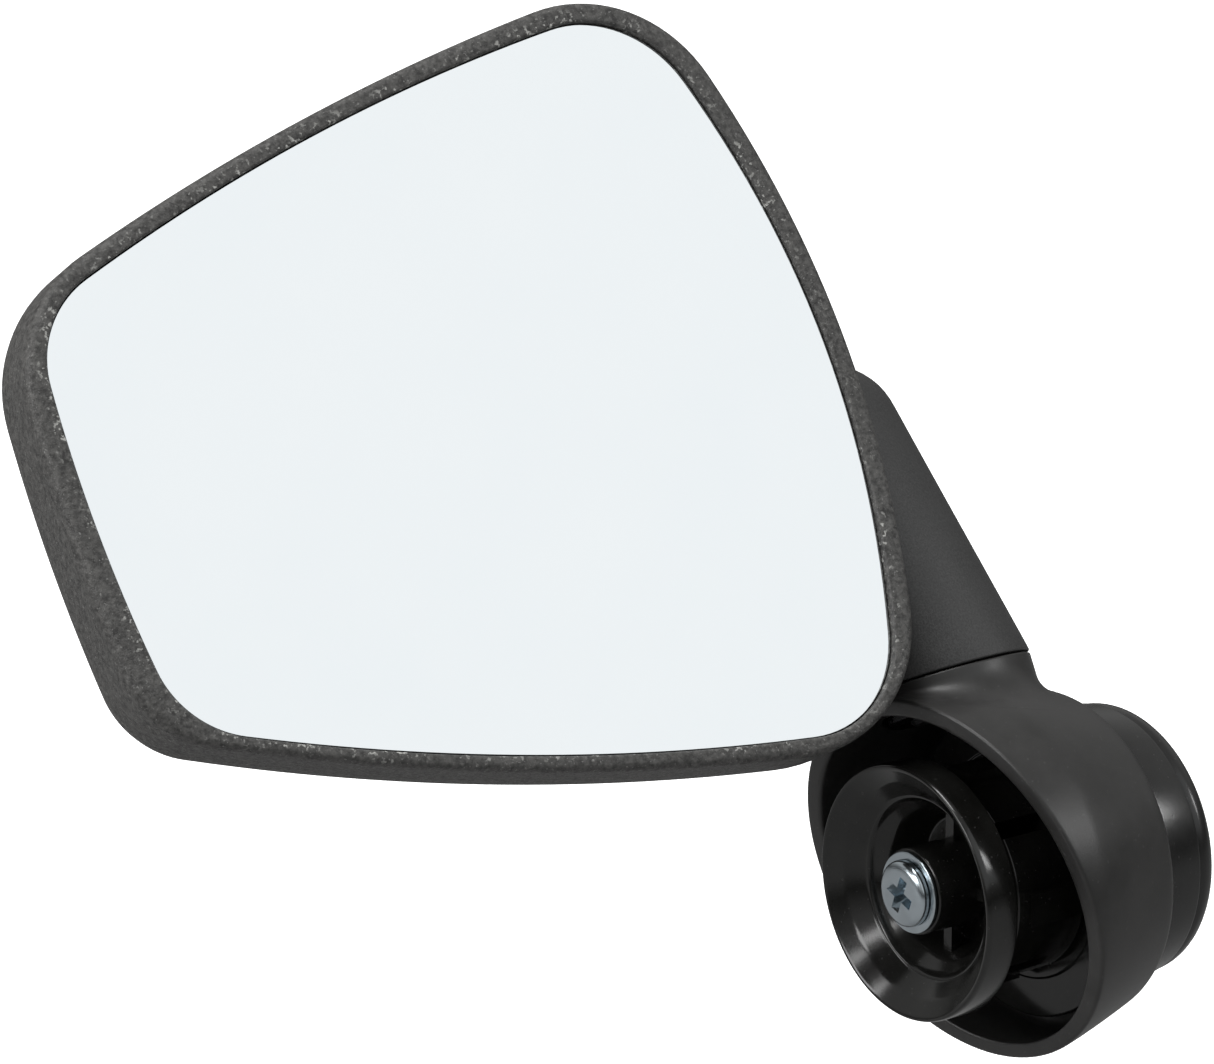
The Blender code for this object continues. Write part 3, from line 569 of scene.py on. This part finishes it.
def satin_plastic(name, base, rough, grain_depth, smears=0.06):
    """Moulded plastic with a very fine texture, faint handling marks and a few dust specks."""
    material, tree, shader, place = start_material(name)
    grain = noise(tree, place, 0.09, 2.0)
    cloud = noise(tree, place, 4.0, 4.0, 0.6)
    lighter = tuple(c * 1.6 + 0.004 for c in base)
    colour = blend_colour(tree, spread(tree, cloud, 0.35, 0.75), base, lighter)
    dust = spread(tree, noise(tree, place, 0.25, 0.0), 0.79, 0.83, 0.0, 0.25)
    colour = blend_colour(tree, dust, colour, (0.09, 0.09, 0.088))
    marks = times(tree, spread(tree, cloud, 0.3, 0.7), smears)
    uneven = plus(tree, times(tree, grain, 0.08), marks)
    roughness = plus(tree, uneven, rough - 0.04)
    dress(tree, shader, colour, roughness, bump(tree, grain, grain_depth), Specular_IOR_Level=0.5)
    return material


def bright_metal(name, tint, low, high, streak, depth):
    """Plated or plain steel: fine turning lines about the bar's axis, and cloudy polish."""
    material, tree, shader, place = start_material(name)
    cloud = noise(tree, place, 1.6, 3.0)
    lines = add_node(
        tree,
        "ShaderNodeTexWave",
        {"Vector": place, "Scale": 1 / (streak * MM), "Distortion": 1.5, "Detail": 2.0},
        wave_type="RINGS",
        rings_direction="X",
    ).outputs["Fac"]
    darker = tuple(c * 0.82 for c in tint)
    colour = blend_colour(tree, spread(tree, cloud, 0.3, 0.7), darker, tint)
    rough = spread(tree, cloud, 0.3, 0.7, low, high)
    dress(tree, shader, colour, rough, bump(tree, lines, depth), Metallic=1.0)
    return material


def silvered_glass(name):
    """A clean mirror, faintly blue, with a trace of haze."""
    material, tree, shader, place = start_material(name)
    haze = noise(tree, place, 14.0, 4.0, 0.6)
    colour = blend_colour(tree, spread(tree, haze, 0.3, 0.7), (0.925, 0.955, 0.975), (0.94, 0.965, 0.98))
    dress(tree, shader, colour, spread(tree, haze, 0.35, 0.7, 0.012, 0.03), Metallic=1.0)
    return material


def soft_material(name, base, size, rough, depth):
    """Foam or natural nylon: pale, slightly uneven, with a fine open texture whose pores are painted
    darker as shade.
    """
    material, tree, shader, place = start_material(name)
    pores = cells(tree, place, size)
    cloud = noise(tree, place, 3.0)
    darker = tuple(c * 0.72 for c in base)
    # Painted shade: the middle of each pore, where the relief is lowest, is darker.
    colour = blend_colour(tree, spread(tree, pores, 0.1, 0.7), darker, base)
    roughness = spread(tree, cloud, 0.3, 0.7, rough - 0.08, rough + 0.05)
    dress(tree, shader, colour, roughness, bump(tree, pores, depth))
    return material


# Plug and clamp


def cup_cone(x):
    """The outer radius of the cup's cone, behind its band."""
    return CUP_CONE_RADIUS - CUP_CONE_SLOPE * (x - CUP_FRONT - CUP_BAND)


def add_cup(material):
    back = CUP_FRONT + CUP_LENGTH
    band_end = CUP_FRONT + CUP_BAND
    pocket = CUP_FRONT + CUP_POCKET
    floor = back - POST_FLOOR
    wall_front = band_end + CUP_WALL
    profile = [
        (POST_TOP, 0),
        (POST_TOP, POST_RADIUS),
        (floor, POST_RADIUS),
        (floor, cup_cone(floor) - CUP_WALL),
        (wall_front, cup_cone(wall_front) - CUP_WALL),
        (band_end - 0.2, CUP_FUNNEL_RADIUS - 0.45),
        (pocket, CUP_FUNNEL_RADIUS - 0.17),
        (pocket, CUP_FUNNEL_RADIUS),
        *((CUP_FRONT + depth, radius) for depth, radius in CUP_FUNNEL),
        (CUP_FRONT, CUP_RADIUS - 0.1),
        (CUP_FRONT + 0.3, CUP_RADIUS),
        (band_end, CUP_RADIUS),
        (band_end, cup_cone(band_end)),
        (back, cup_cone(back)),
        (back, 0),
    ]
    cup = turned("cup_shell", soften(profile, 0.2), BAR)
    for i in range(2):
        front, end = CUP_FRONT + CUP_RIB_DEPTH, back - 0.86
        wide, narrow = cup_cone(front) - CUP_RIB_INSET, cup_cone(end) - CUP_RIB_INSET
        outline = [(-wide, front), (wide, front), (narrow, end), (-narrow, end)]
        turn = Matrix.Rotation(pi / 2 * i, 4, "Z")
        combine(cup, slab("rib", outline, CUP_RIB_HALF_WIDTH, BAR @ turn), "UNION")
    bore = ring(CUP_FRONT, back + 1, 0, SCREW_RADIUS + GAP)
    combine(cup, turned("bore", bore, BAR, SMALL), "DIFFERENCE")
    settle(cup, "cup", ["expander_cup"], material)


def add_clamp_screw(material):
    seat, radius = SCREW_SEAT, SCREW_HEAD_RADIUS
    top = seat - SCREW_HEAD_HEIGHT
    crown = curve((top, radius - 0.9), (top + 0.05, radius), (seat - 0.2, radius), 10)
    profile = [(top, 0)] + [tuple(p) for p in crown]
    profile += [(seat, radius), (seat, SCREW_RADIUS), (SCREW_END - BEVEL, SCREW_RADIUS)]
    profile += [(SCREW_END, SCREW_RADIUS - BEVEL), (SCREW_END, 0)]
    screw = turned("cross_head_screw", profile, BAR, SMALL)
    turn = Matrix.Rotation(radians(CROSS_TURN), 4, "Z")
    cut_cross(screw, BAR @ turn, top, reach=1.35, half_width=0.4, depth=1.0)
    settle(screw, "cup", ["clamp_screw"], material)


def cut_cross(screw, matrix, top, reach, half_width, depth):
    """A cross recess whose wings narrow towards its bottom, cut in from local Z = top."""
    for i in range(2):
        turn = Matrix.Rotation(pi / 2 * i, 4, "Z")
        loops = []
        for z, share in ((top - 0.5, 1.25), (top + depth, 0.5)):
            x, y = reach * share, half_width * share
            loops.append([(-x, -y, z), (x, -y, z), (x, y, z), (-x, y, z)])
        combine(screw, loft("wing", loops, matrix @ turn), "DIFFERENCE")


def add_washer(material):
    profile = soften(ring(*WASHER_X, SCREW_RADIUS + PLAY, WASHER_RADIUS), 0.09)
    washer = turned("plain_washer", profile, BAR, SMALL)
    settle(washer, "cup", ["clamp_washer"], material)


def add_sleeve(material):
    end, web = -GAP, SLEEVE_WEB
    mouth = cup_cone(SLEEVE_FRONT - CUP_DRAW) + SLEEVE_PLAY
    throat_x = web - SLEEVE_THROAT
    throat = cup_cone(throat_x - CUP_DRAW) + SLEEVE_PLAY
    profile = [
        (SLEEVE_FRONT, mouth),
        (SLEEVE_FRONT, SLEEVE_RADIUS),
        (end, SLEEVE_RADIUS),
        (end, TUBE_RADIUS + GAP),
        (web, TUBE_RADIUS + GAP),
        (web, throat),
        (throat_x, throat),
    ]
    sleeve = turned("split_sleeve", soften(profile, 0.25), BAR)
    for i in range(4):
        low = (throat + 1.03, -SLEEVE_RIB_HALF_WIDTH, SLEEVE_FRONT + 0.69)
        high = (SLEEVE_RIB_RADIUS, SLEEVE_RIB_HALF_WIDTH, end - 0.51)
        turn = Matrix.Rotation(pi / 2 * i, 4, "Z")
        combine(sleeve, block("rib", low, high, BAR @ turn), "UNION")
    for i in range(2):
        half, reach = SLOT_WIDTH / 2, SLEEVE_RADIUS + 2
        turn = Matrix.Rotation(pi / 4 + pi / 2 * i, 4, "Z")
        low, high = (-reach, -half, SLEEVE_FRONT - 1), (reach, half, web - 0.34)
        combine(sleeve, block("slot", low, high, BAR @ turn), "DIFFERENCE")
    settle(sleeve, "plug", ["expander_sleeve"], material)


def add_plug_body(material):
    profile = [
        (TUBE_FRONT, SCREW_BORE),
        (TUBE_FRONT, TUBE_RADIUS),
        (SEAT_STEP, TUBE_RADIUS),
        (SEAT_STEP, SEAT_INNER_RADIUS),
        (0, SEAT_INNER_RADIUS),
        (0, SEAT_RADIUS),
        (SEAT_THICKNESS, SEAT_RADIUS),
        (SEAT_THICKNESS, SPINDLE_RADIUS),
        (SPINDLE_END, SPINDLE_RADIUS),
        (SPINDLE_END, SCREW_BORE),
    ]
    body = turned("plug_core", soften(profile, 0.2), BAR)
    settle(body, "plug", ["plug_body"], material)


def add_knob(material):
    face, front = KNOB_END, KNOB_FRONT
    skirt = [
        (SPINDLE_END + GAP, 0),
        (SPINDLE_END + GAP, KNOB_BOSS_RADIUS),
        (face - KNOB_FACE_WALL, KNOB_BOSS_RADIUS),
        (face - KNOB_FACE_WALL, KNOB_SKIRT_BORE),
        (front, KNOB_SKIRT_BORE),
        (front, KNOB_RADIUS - 0.2),
        (front + 0.6, KNOB_RADIUS),
        (face - 1.97, KNOB_RADIUS - 0.15),
    ]
    profile = soften(skirt, 0.25)
    shoulder = [(face - depth, KNOB_RADIUS - inset) for depth, inset in KNOB_SHOULDER]
    profile += [tuple(p) for p in curve(*shoulder, 12)]
    profile += [(face - depth, radius) for depth, radius in KNOB_DISH]
    knob = turned("end_knob", profile, BAR)
    hexagon = polygon(6, NUT_FLATS + 0.34)
    nut_seat = SPINDLE_END + GAP + NUT_HEIGHT + 0.26
    combine(knob, prism("nut_pocket", hexagon, SPINDLE_END - 1, nut_seat, BAR), "DIFFERENCE")
    socket = prism("socket", polygon(6, SOCKET_FLATS), face - SOCKET_DEPTH, face + 1, BAR)
    combine(knob, socket, "DIFFERENCE")
    combine(knob, turned("bore", ring(SPINDLE_END, face, 0, SCREW_BORE), BAR, SMALL), "DIFFERENCE")
    settle(knob, "knob", ["clamp_knob"], material)


# Hub


def drum_radius(x):
    """The drum's outer radius, which tapers towards its back."""
    share = max(0.0, (x - DRUM_TAPER_X) / (DRUM_BACK - DRUM_TAPER_X))
    return DRUM_RADIUS - (DRUM_RADIUS - DRUM_BACK_RADIUS) * share**1.2


def mouth_x(radius, angle):
    """Where the oblique mouth plane lies at a radius; the angle is measured from the neck."""
    return MOUTH_X - tan(radians(MOUTH_TILT)) * radius * cos(angle)


def swept(name, section, segments=ROUND):
    """A closed skin whose section, a list of (x, radius) from mouth to back, depends on the angle."""
    rings = [section(2 * pi * i / segments) for i in range(segments)]
    loops = []
    for level in range(len(rings[0])):
        loop = []
        for i, points in enumerate(rings):
            x, radius = points[level]
            angle = 2 * pi * i / segments
            loop.append((x, radius * sin(angle), radius * cos(angle)))
        loops.append(loop)
    return loft(name, loops, Matrix.Rotation(radians(-SWIVEL_LEAN), 4, "X"))


def drum_section(angle):
    """From inside the mouth plane, round its outer edge and along the drum to its back."""
    edge_x = mouth_x(DRUM_RADIUS, angle)
    # The mouth plane may meet the tapered part, so the place of the edge is refined in a few steps
    for _ in range(4):
        edge_x = mouth_x(drum_radius(edge_x), angle)
    edge = (edge_x, drum_radius(edge_x))
    inner = edge[1] - 1.0
    on_plane = edge[1] - MOUTH_ROUND
    wall_x = edge_x + MOUTH_ROUND
    points = [(mouth_x(inner, angle), inner)]
    points += [
        tuple(p)
        for p in curve((mouth_x(on_plane, angle), on_plane), edge, (wall_x, drum_radius(wall_x)), 5)
    ]
    end = DRUM_BACK - DRUM_BACK_ROUND
    places = [wall_x + (end - wall_x) * i / 24 for i in range(1, 25)]
    points += [(x, drum_radius(x)) for x in places]
    corner = (DRUM_BACK, drum_radius(DRUM_BACK))
    last = (DRUM_BACK, corner[1] - DRUM_BACK_ROUND)
    points += [tuple(p) for p in curve(points[-1], corner, last, 8)][1:]
    points.append((DRUM_BACK, 3.0))
    return points


def cavity_section(angle):
    """The drum's bore, flared where it meets the mouth plane."""
    edge = (mouth_x(DRUM_BORE, angle), DRUM_BORE)
    flare = DRUM_BORE + MOUTH_ROUND
    on_plane = (mouth_x(flare, angle), flare)
    points = [(on_plane[0] - 6, flare + 0.1), (on_plane[0] - 0.02, flare + 0.02)]
    points += [tuple(p) for p in curve(on_plane, edge, (edge[0] + MOUTH_ROUND, DRUM_BORE), 5)]
    corner = (DRUM_FLOOR, DRUM_BORE)
    start, end = (DRUM_FLOOR - DRUM_FLOOR_ROUND, DRUM_BORE), (DRUM_FLOOR, DRUM_BORE - DRUM_FLOOR_ROUND)
    points += [tuple(p) for p in curve(start, corner, end, 8)]
    points.append((DRUM_FLOOR, 3.0))
    return points


def neck_section(angle):
    """(radius, height) points down the neck at one side of it, ending in a fillet on the drum."""

    def drum_height(radius):
        x = SWIVEL_X + radius * cos(angle)
        return sqrt(drum_radius(min(x, DRUM_BACK)) ** 2 - (radius * sin(angle)) ** 2)

    reach = 0.17 + NECK_FILLET * sin(angle) ** 2
    root = drum_height(NECK_RADIUS)
    top = min(root + reach, NECK_TOP - 0.51)
    outer = (NECK_RADIUS + reach, drum_height(NECK_RADIUS + reach))
    inner, lower = (NECK_RADIUS - NECK_LIP, NECK_TOP), (NECK_RADIUS, NECK_TOP - NECK_LIP)
    lip = curve(inner, (NECK_RADIUS, NECK_TOP), lower, 4)
    points = [tuple(p) for p in lip] + [(NECK_RADIUS, top)]
    steps = 14
    for i in range(1, steps + 1):
        t = i / steps
        radius = NECK_RADIUS * (1 - t * t) + outer[0] * t * t
        height = top * (1 - t) ** 2 + root * 2 * t * (1 - t) + outer[1] * t * t
        points.append((radius, height))
    points.append((outer[0] - 1.03, outer[1] - 1.2))
    return points


def add_hub(material):
    hub = swept("hub_drum", drum_section)
    slope = tan(radians(MOUTH_TILT))
    angles = [2 * pi * (i + 0.5) / ROUND for i in range(ROUND)]
    loops = []
    for level in zip(*[neck_section(angle) for angle in angles]):
        loop = []
        for angle, (radius, height) in zip(angles, level):
            plane = MOUTH_X - SWIVEL_X - slope * height + 0.02
            loop.append((max(radius * cos(angle), plane), radius * sin(angle), height))
        loops.append(loop)
    combine(hub, loft("neck", loops, NECK), "UNION")
    combine(hub, swept("cavity", cavity_section, ROUND - 7), "DIFFERENCE")
    bore = SPINDLE_RADIUS + GAP
    steps = [(0, 0), (0, bore), (RECESS_FLOOR, bore), (RECESS_FLOOR, RECESS_RADIUS)]
    steps += [(DRUM_BACK + 1, RECESS_RADIUS), (DRUM_BACK + 1, 0)]
    combine(hub, turned("spindle_bore", steps, BAR, SMALL), "DIFFERENCE")
    low, pocket, hole = SPINDLE_RADIUS + 1, CLIP_RADIUS + CLIP_PLAY, BUSH_RADIUS + BUSH_PLAY
    holes = [(low, 0), (low, pocket), (CLIP_POCKET_TOP, pocket)]
    holes += [(CLIP_POCKET_TOP, hole), (NECK_TOP + 1, hole), (NECK_TOP + 1, 0)]
    combine(hub, turned("neck_bore", holes, NECK, SMALL), "DIFFERENCE")
    settle(hub, "hub", ["hub_shell"], material, 30)


# Mirror head


def add_housing(outline, rim, material):
    bed = offset_outline(outline, -BED_INSET)
    loops = [on_face(bed, HOUSING_FLOOR), on_face(bed, GLASS_SEAT), on_face(outline, GLASS_SEAT)]
    inner_lip = rounded_lip(outline, (0, EDGE), (0, 0), (INNER_LIP, 0))
    loops += inner_lip + [on_face(offset_outline(outline, INNER_LIP + 0.11), 0)]
    loops += rim_roll(outline, rim) + housing_loops(rim, front=RIM_EDGE)[1:]
    housing = loft("housing_shell", loops, HEAD)

    well = offset_outline(outline, -WELL_INSET)
    buried = HOUSING_FLOOR + EDGE
    for low, high in RIBS:
        corner = (low[0], GLASS_SEAT - FACE_OFFSET, low[1])
        opposite = (high[0], buried - FACE_OFFSET, high[1])
        rib = block("rib", corner, opposite, HEAD)
        well_loops = [on_face(well, depth) for depth in (GLASS_SEAT, HOUSING_FLOOR + BEVEL)]
        combine(rib, loft("well", well_loops, HEAD), "INTERSECT")
        combine(housing, rib, "UNION")
    for s, w in HOUSING_SCREWS:
        boss = turned("boss", ring(GLASS_SEAT + 0.17, buried, 0, BOSS_RADIUS), across(s, w), SMALL)
        combine(housing, boss, "UNION")
        hole = ring(GLASS_SEAT + 1.03, HOUSING_DEPTH + 1, 0, SMALL_SCREW_RADIUS + PLAY)
        combine(housing, turned("hole", hole, across(s, w), SMALL), "DIFFERENCE")
    mark_wear(housing, inner_lip[1:], WEAR_REACH)
    settle(housing, "head", ["mirror_housing"], material)


def mark_wear(obj, loops, reach):
    """A point attribute that is 1 along these loops and fades out within reach of them."""
    points = [(HEAD @ Vector(p)) * MM for loop in loops for p in loop]
    tree = KDTree(len(points))
    for i, point in enumerate(points):
        tree.insert(point, i)
    tree.balance()
    wear = obj.data.attributes.new("wear", "FLOAT", "POINT")
    for vertex, item in zip(obj.data.vertices, wear.data):
        item.value = max(0.0, 1 - tree.find(vertex.co)[2] / (reach * MM))


def add_glass(outline, material):
    """A thin convex plate with a ground edge, its front a shallow part of a sphere."""
    middle = Vector(GLASS_MIDDLE)
    edge = offset_outline(outline, -GLASS_INSET)

    def front_loop(points, share):
        loop = []
        for p in points:
            q = middle + (p - middle) * share
            sink = (q - middle).length_squared / (2 * GLASS_SPHERE)
            loop.append((q.x, GLASS_RECESS - EDGE + sink - FACE_OFFSET, q.y))
        return loop

    back = GLASS_RECESS + GLASS_THICKNESS
    loops = [on_face(offset_outline(edge, -0.2), back), on_face(edge, back - 0.2)]
    loops.append(on_face(edge, GLASS_RECESS + 0.75))
    loops.append(on_face(offset_outline(edge, -0.05), GLASS_RECESS + 0.55))
    shares = [1 - 0.06 * i for i in range(17)]
    loops += [front_loop(offset_outline(edge, -0.07), share) for share in shares]
    glass = loft("mirror_plate", loops, HEAD)
    settle(glass, "head", ["mirror_glass"], material, 20)


def arm_section(w):
    """Left, right, back and front edges of the arm at a height up the swivel axis."""
    share = max(0.0, (w - ARM_BOTTOM) / (ARM_TOP - ARM_BOTTOM))
    right = NECK_RADIUS - ARM_EDGE_TAPER * (w - ARM_BOTTOM)
    left = -NECK_RADIUS - ARM_SPREAD * share**1.5
    back = NECK_RADIUS - ARM_BACK_TAPER * share
    front = -NECK_RADIUS + ARM_FRONT_TAPER * share
    if w > ARM_SHOULDER:
        rise = (w - ARM_SHOULDER) / (ARM_TOP - ARM_SHOULDER)
        close = sqrt(max(0.0, 1 - rise**2.4))
        middle = (left + right) / 2 - ARM_TOP_LEAN * rise
        right = middle + (right - middle) * close
        left = middle + (left - middle) * close
        back, front = back * (0.4 + 0.6 * close), front * (0.4 + 0.6 * close)
    return left, right, back, front


def arm_loop(w, shrink, segments=112):
    """A loop round the arm at a height up the swivel axis."""
    left, right, back, front = arm_section(w)
    loop = []
    for i in range(segments):
        angle = 2 * pi * i / segments
        s = (left + right) / 2 + ((right - left) / 2 - shrink) * cos(angle)
        y = ((back if sin(angle) > 0 else -front) - shrink) * sin(angle)
        loop.append((s, y, w))
    return loop


def add_arm(rim, material):
    low = SEAM - SWIVEL_GAP
    foot = curve((0.15, low), (0, low), (0, SEAM - 0.2), 4)
    loops = [arm_loop(ARM_BOTTOM + rise, inset) for inset, rise in foot]
    straight, close = 18, 14
    rise = ARM_SHOULDER - ARM_BOTTOM
    loops += [arm_loop(ARM_BOTTOM + rise * i / straight, 0) for i in range(1, straight + 1)]
    rise = ARM_TOP - ARM_SHOULDER
    loops += [arm_loop(ARM_SHOULDER + rise * sin(pi / 2 * i / close), 0) for i in range(1, close)]
    arm = loft("arm_body", loops, HEAD)

    plate = bowed_outline(PLATE_CORNERS, PLATE_BOWS, PLATE_ROUNDING)
    edge = curve((0, PLATE_THICKNESS * 0.45), (0, PLATE_THICKNESS), (-1.9, PLATE_THICKNESS), 8)
    loops = [on_face(plate, PLATE_FRONT)]
    loops += [on_face(offset_outline(plate, p.x), PLATE_FRONT + p.y) for p in edge]
    combine(arm, loft("plate", loops, HEAD), "UNION")
    combine(arm, loft("shell", housing_loops(rim, grow=PLATE_GAP, front=-6), HEAD), "DIFFERENCE")
    recess = [
        (ARM_BOTTOM - 2, 0),
        (ARM_BOTTOM - 2, ARM_RECESS_RADIUS),
        (ARM_RECESS_TOP, ARM_RECESS_RADIUS),
        (ARM_RECESS_TOP, PIN_RADIUS + PLAY),
        (PIN_TOP + 0.34, PIN_RADIUS + PLAY),
        (PIN_TOP + 0.34, 0),
    ]
    combine(arm, turned("recess", recess, HEAD, SMALL), "DIFFERENCE")
    front, back, hole = PLATE_FRONT - 1, PLATE_BACK + 8, SMALL_SCREW_RADIUS + EDGE
    for s, w in HOUSING_SCREWS:
        tool = [(front, 0), (front, hole), (HEAD_SEAT, hole)]
        tool += [(HEAD_SEAT, SCREW_HEAD_POCKET), (back, SCREW_HEAD_POCKET), (back, 0)]
        combine(arm, turned("pocket", tool, across(s, w), SMALL), "DIFFERENCE")
    settle(arm, "head", ["mirror_arm"], material, 32)


def add_housing_screws(material):
    seat = HEAD_SEAT + 0.09
    tip = seat - SMALL_SCREW_LENGTH
    head = seat + SMALL_HEAD_HEIGHT
    for i, (s, w) in enumerate(HOUSING_SCREWS):
        profile = [(tip, 0), (tip + 0.69, SMALL_SCREW_RADIUS), (seat, SMALL_SCREW_RADIUS)]
        profile += [(seat, SMALL_HEAD_RADIUS), (seat + 0.35, SMALL_HEAD_RADIUS)]
        dome = curve((seat + 0.35, SMALL_HEAD_RADIUS), (head, SMALL_HEAD_RADIUS - 0.2), (head, 0.4), 8)
        profile += [tuple(p) for p in dome][1:] + [(head, 0)]
        screw = turned(f"back_screw_{i + 1}", profile, across(s, w), SMALL)
        upside_down = Matrix.Rotation(pi, 4, "X")
        cut_cross(screw, across(s, w) @ upside_down, -head, reach=0.94, half_width=0.21, depth=0.51)
        settle(screw, "head", [f"housing_screw_{i + 1}"], material)


# Studio


def add_emitter(name, target, direction, distance, width, height, strength, colour=(1, 1, 1)):
    """A soft area light that faces the target from a direction."""
    light = bpy.data.lights.new(name, "AREA")
    light.shape = "RECTANGLE"
    light.size, light.size_y = width, height
    light.energy = strength * pi * width * height
    light.color = colour
    obj = bpy.data.objects.new(name, light)
    bpy.context.scene.collection.objects.link(obj)
    direction = Vector(direction).normalized()
    obj.location = target + direction * distance
    obj.rotation_euler = direction.to_track_quat("Z", "Y").to_euler()


def seen_by_camera(tree):
    """1 where the camera looks straight at a surface, 0 for light and reflections."""
    return add_node(tree, "ShaderNodeLightPath").outputs["Is Camera Ray"]


def head_reach():
    """How far the head is from the bar's axis: on a floor that far down, the hub can turn right round."""
    corners = [(y, z) for y in (cad_low.y, cad_high.y) for z in (cad_low.z, cad_high.z)]
    return max(Vector(corner).length for corner in corners)


def add_floor(height):
    """A floor that looks white, and that the object sees dimmer, as under a small sheet of paper."""
    mesh = bpy.data.meshes.new("floor")
    sides = ((-1, -1), (1, -1), (1, 1), (-1, 1))
    corners = [(FLOOR_SIZE * x, FLOOR_SIZE * y, height) for x, y in sides]
    mesh.from_pydata(corners, [], [(0, 1, 2, 3)])
    material, tree, shader, place = start_material("floor_paint")
    cloud = noise(tree, place, 60.0, 3.0)
    colour = blend_colour(tree, spread(tree, cloud, 0.3, 0.7), (0.9, 0.9, 0.9), (0.93, 0.93, 0.93))
    dress(tree, shader, colour, Roughness=0.9, Specular_IOR_Level=0.0)
    shader.inputs["Emission Color"].default_value = (1, 1, 1, 1)
    shader.inputs["Emission Strength"].default_value = FLOOR_GLOW
    dim = add_node(tree, "ShaderNodeBsdfDiffuse", {"Color": (*FLOOR_SEEN_BY_OBJECT, 1)})
    choice = {0: seen_by_camera(tree), 1: dim.outputs[0], 2: shader.outputs[0]}
    mix = add_node(tree, "ShaderNodeMixShader", choice)
    tree.links.new(mix.outputs[0], tree.nodes["Material Output"].inputs["Surface"])
    mesh.materials.append(material)
    floor = bpy.data.objects.new("floor", mesh)
    bpy.context.scene.collection.objects.link(floor)


def add_world():
    """White behind the object; for light and reflections, a room lit from its ceiling."""
    world = bpy.data.worlds.new("studio")
    bpy.context.scene.world = world
    world.use_nodes = True
    tree = world.node_tree
    tree.nodes.clear()
    direction = add_node(tree, "ShaderNodeTexCoord").outputs["Generated"]
    height = add_node(tree, "ShaderNodeSeparateXYZ", {0: direction}).outputs["Z"]
    strength = spread(tree, height, 0.0, CEILING_EDGE, WALL_LIGHT, CEILING_LIGHT)
    white = add_node(tree, "ShaderNodeBackground", {"Color": (1, 1, 1, 1), "Strength": 1.0})
    room = add_node(tree, "ShaderNodeBackground", {"Color": (0.99, 0.99, 0.98, 1), "Strength": strength})
    choice = {0: seen_by_camera(tree), 1: room.outputs[0], 2: white.outputs[0]}
    mix = add_node(tree, "ShaderNodeMixShader", choice)
    add_node(tree, "ShaderNodeOutputWorld", {"Surface": mix.outputs[0]})


def add_camera():
    """A long lens, level with the horizon, aimed from the mirror's front left and above."""
    a, e = radians(CAMERA_AZIMUTH), radians(CAMERA_ELEVATION)
    back = Vector((sin(a) * cos(e), -cos(a) * cos(e), sin(e)))
    camera = bpy.data.objects.new("camera", bpy.data.cameras.new("camera"))
    bpy.context.scene.collection.objects.link(camera)
    camera.data.lens = CAMERA_LENS
    camera.data.sensor_width = 36
    camera.data.clip_start = 0.01
    camera.location = CAMERA_TARGET + back * CAMERA_DISTANCE
    camera.rotation_euler = back.to_track_quat("Z", "Y").to_euler()
    bpy.context.scene.camera = camera


def add_studio():
    """One card in front fills the glass; the other lights model the black plastics."""
    bpy.context.scene.view_settings.view_transform = "Standard"
    add_world()
    centre = (cad_low + cad_high) / 2
    add_floor(-head_reach())
    hub = Vector((0, 0, 0))
    add_emitter("front_card", centre, (0.24, -0.8, 0.55), 0.7, 0.7, 0.6, 0.44, (0.94, 0.98, 1.0))
    add_emitter("overhead", centre, (-0.15, 0.05, 1.0), 0.8, 0.35, 0.3, 9.0)
    add_emitter("left_soft", centre, (-0.9, 0.25, 0.35), 0.8, 0.4, 0.4, 6.0)
    add_emitter("left_spot", hub, (-0.83, -0.19, 0.52), 0.5, 0.13, 0.15, 7.0)
    add_emitter("right_spot", hub, (0.62, -0.63, 0.47), 0.6, 0.1, 0.14, 11.0)


def retexture_hidden_nodes(looks):
    """Nodes inside the assembly keep their CAD shape and get a finished material."""
    for node, material in looks.items():
        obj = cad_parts[node]
        obj.data.materials.clear()
        obj.data.materials.append(material)


def main():
    """Build every piece with its material, then the studio."""
    gloss = satin_plastic("gloss_black", (0.005, 0.005, 0.0045), 0.12, 0.002, 0.05)
    satin = satin_plastic("satin_black", (0.015, 0.0146, 0.0142), 0.36, 0.008)
    knob = satin_plastic("knob_black", (0.007, 0.007, 0.0068), 0.19, 0.004)
    zinc = bright_metal("zinc_plate", (0.52, 0.58, 0.62), 0.13, 0.24, 0.35, 0.002)
    spring = bright_metal("spring_steel", (0.46, 0.46, 0.47), 0.22, 0.38, 0.4, 0.002)
    oxide = bright_metal("black_oxide_steel", (0.05, 0.05, 0.052), 0.3, 0.45, 0.4, 0.002)
    nylon = soft_material("natural_nylon", (0.72, 0.71, 0.66), 0.4, 0.45, 0.01)
    foam = soft_material("closed_cell_foam", (0.8, 0.8, 0.77), 0.5, 0.85, 0.08)

    add_cup(gloss)
    add_clamp_screw(zinc)
    add_washer(zinc)
    add_sleeve(gloss)
    add_plug_body(gloss)
    add_knob(knob)
    add_hub(satin)
    outline = bowed_outline(GLASS_CORNERS, GLASS_BOWS, GLASS_ROUNDING)
    rim = bowed_outline(RIM_CORNERS, RIM_BOWS, RIM_ROUNDING)
    add_housing(outline, rim, grained_plastic("grained_black"))
    add_glass(outline, silvered_glass("silvered_glass"))
    add_arm(rim, arm_plastic("arm_black"))
    add_housing_screws(zinc)
    retexture_hidden_nodes(
        {
            "hub_friction_ring": nylon,
            "hub_wave_washer": spring,
            "hub_thrust_washer": spring,
            "knob_nut": zinc,
            "swivel_bush": nylon,
            "swivel_pin": oxide,
            "swivel_clip": oxide,
            "swivel_wave_washer": oxide,
            "swivel_washer": oxide,
            "glass_foam_pad": foam,
        }
    )
    add_studio()
    add_camera()


main()
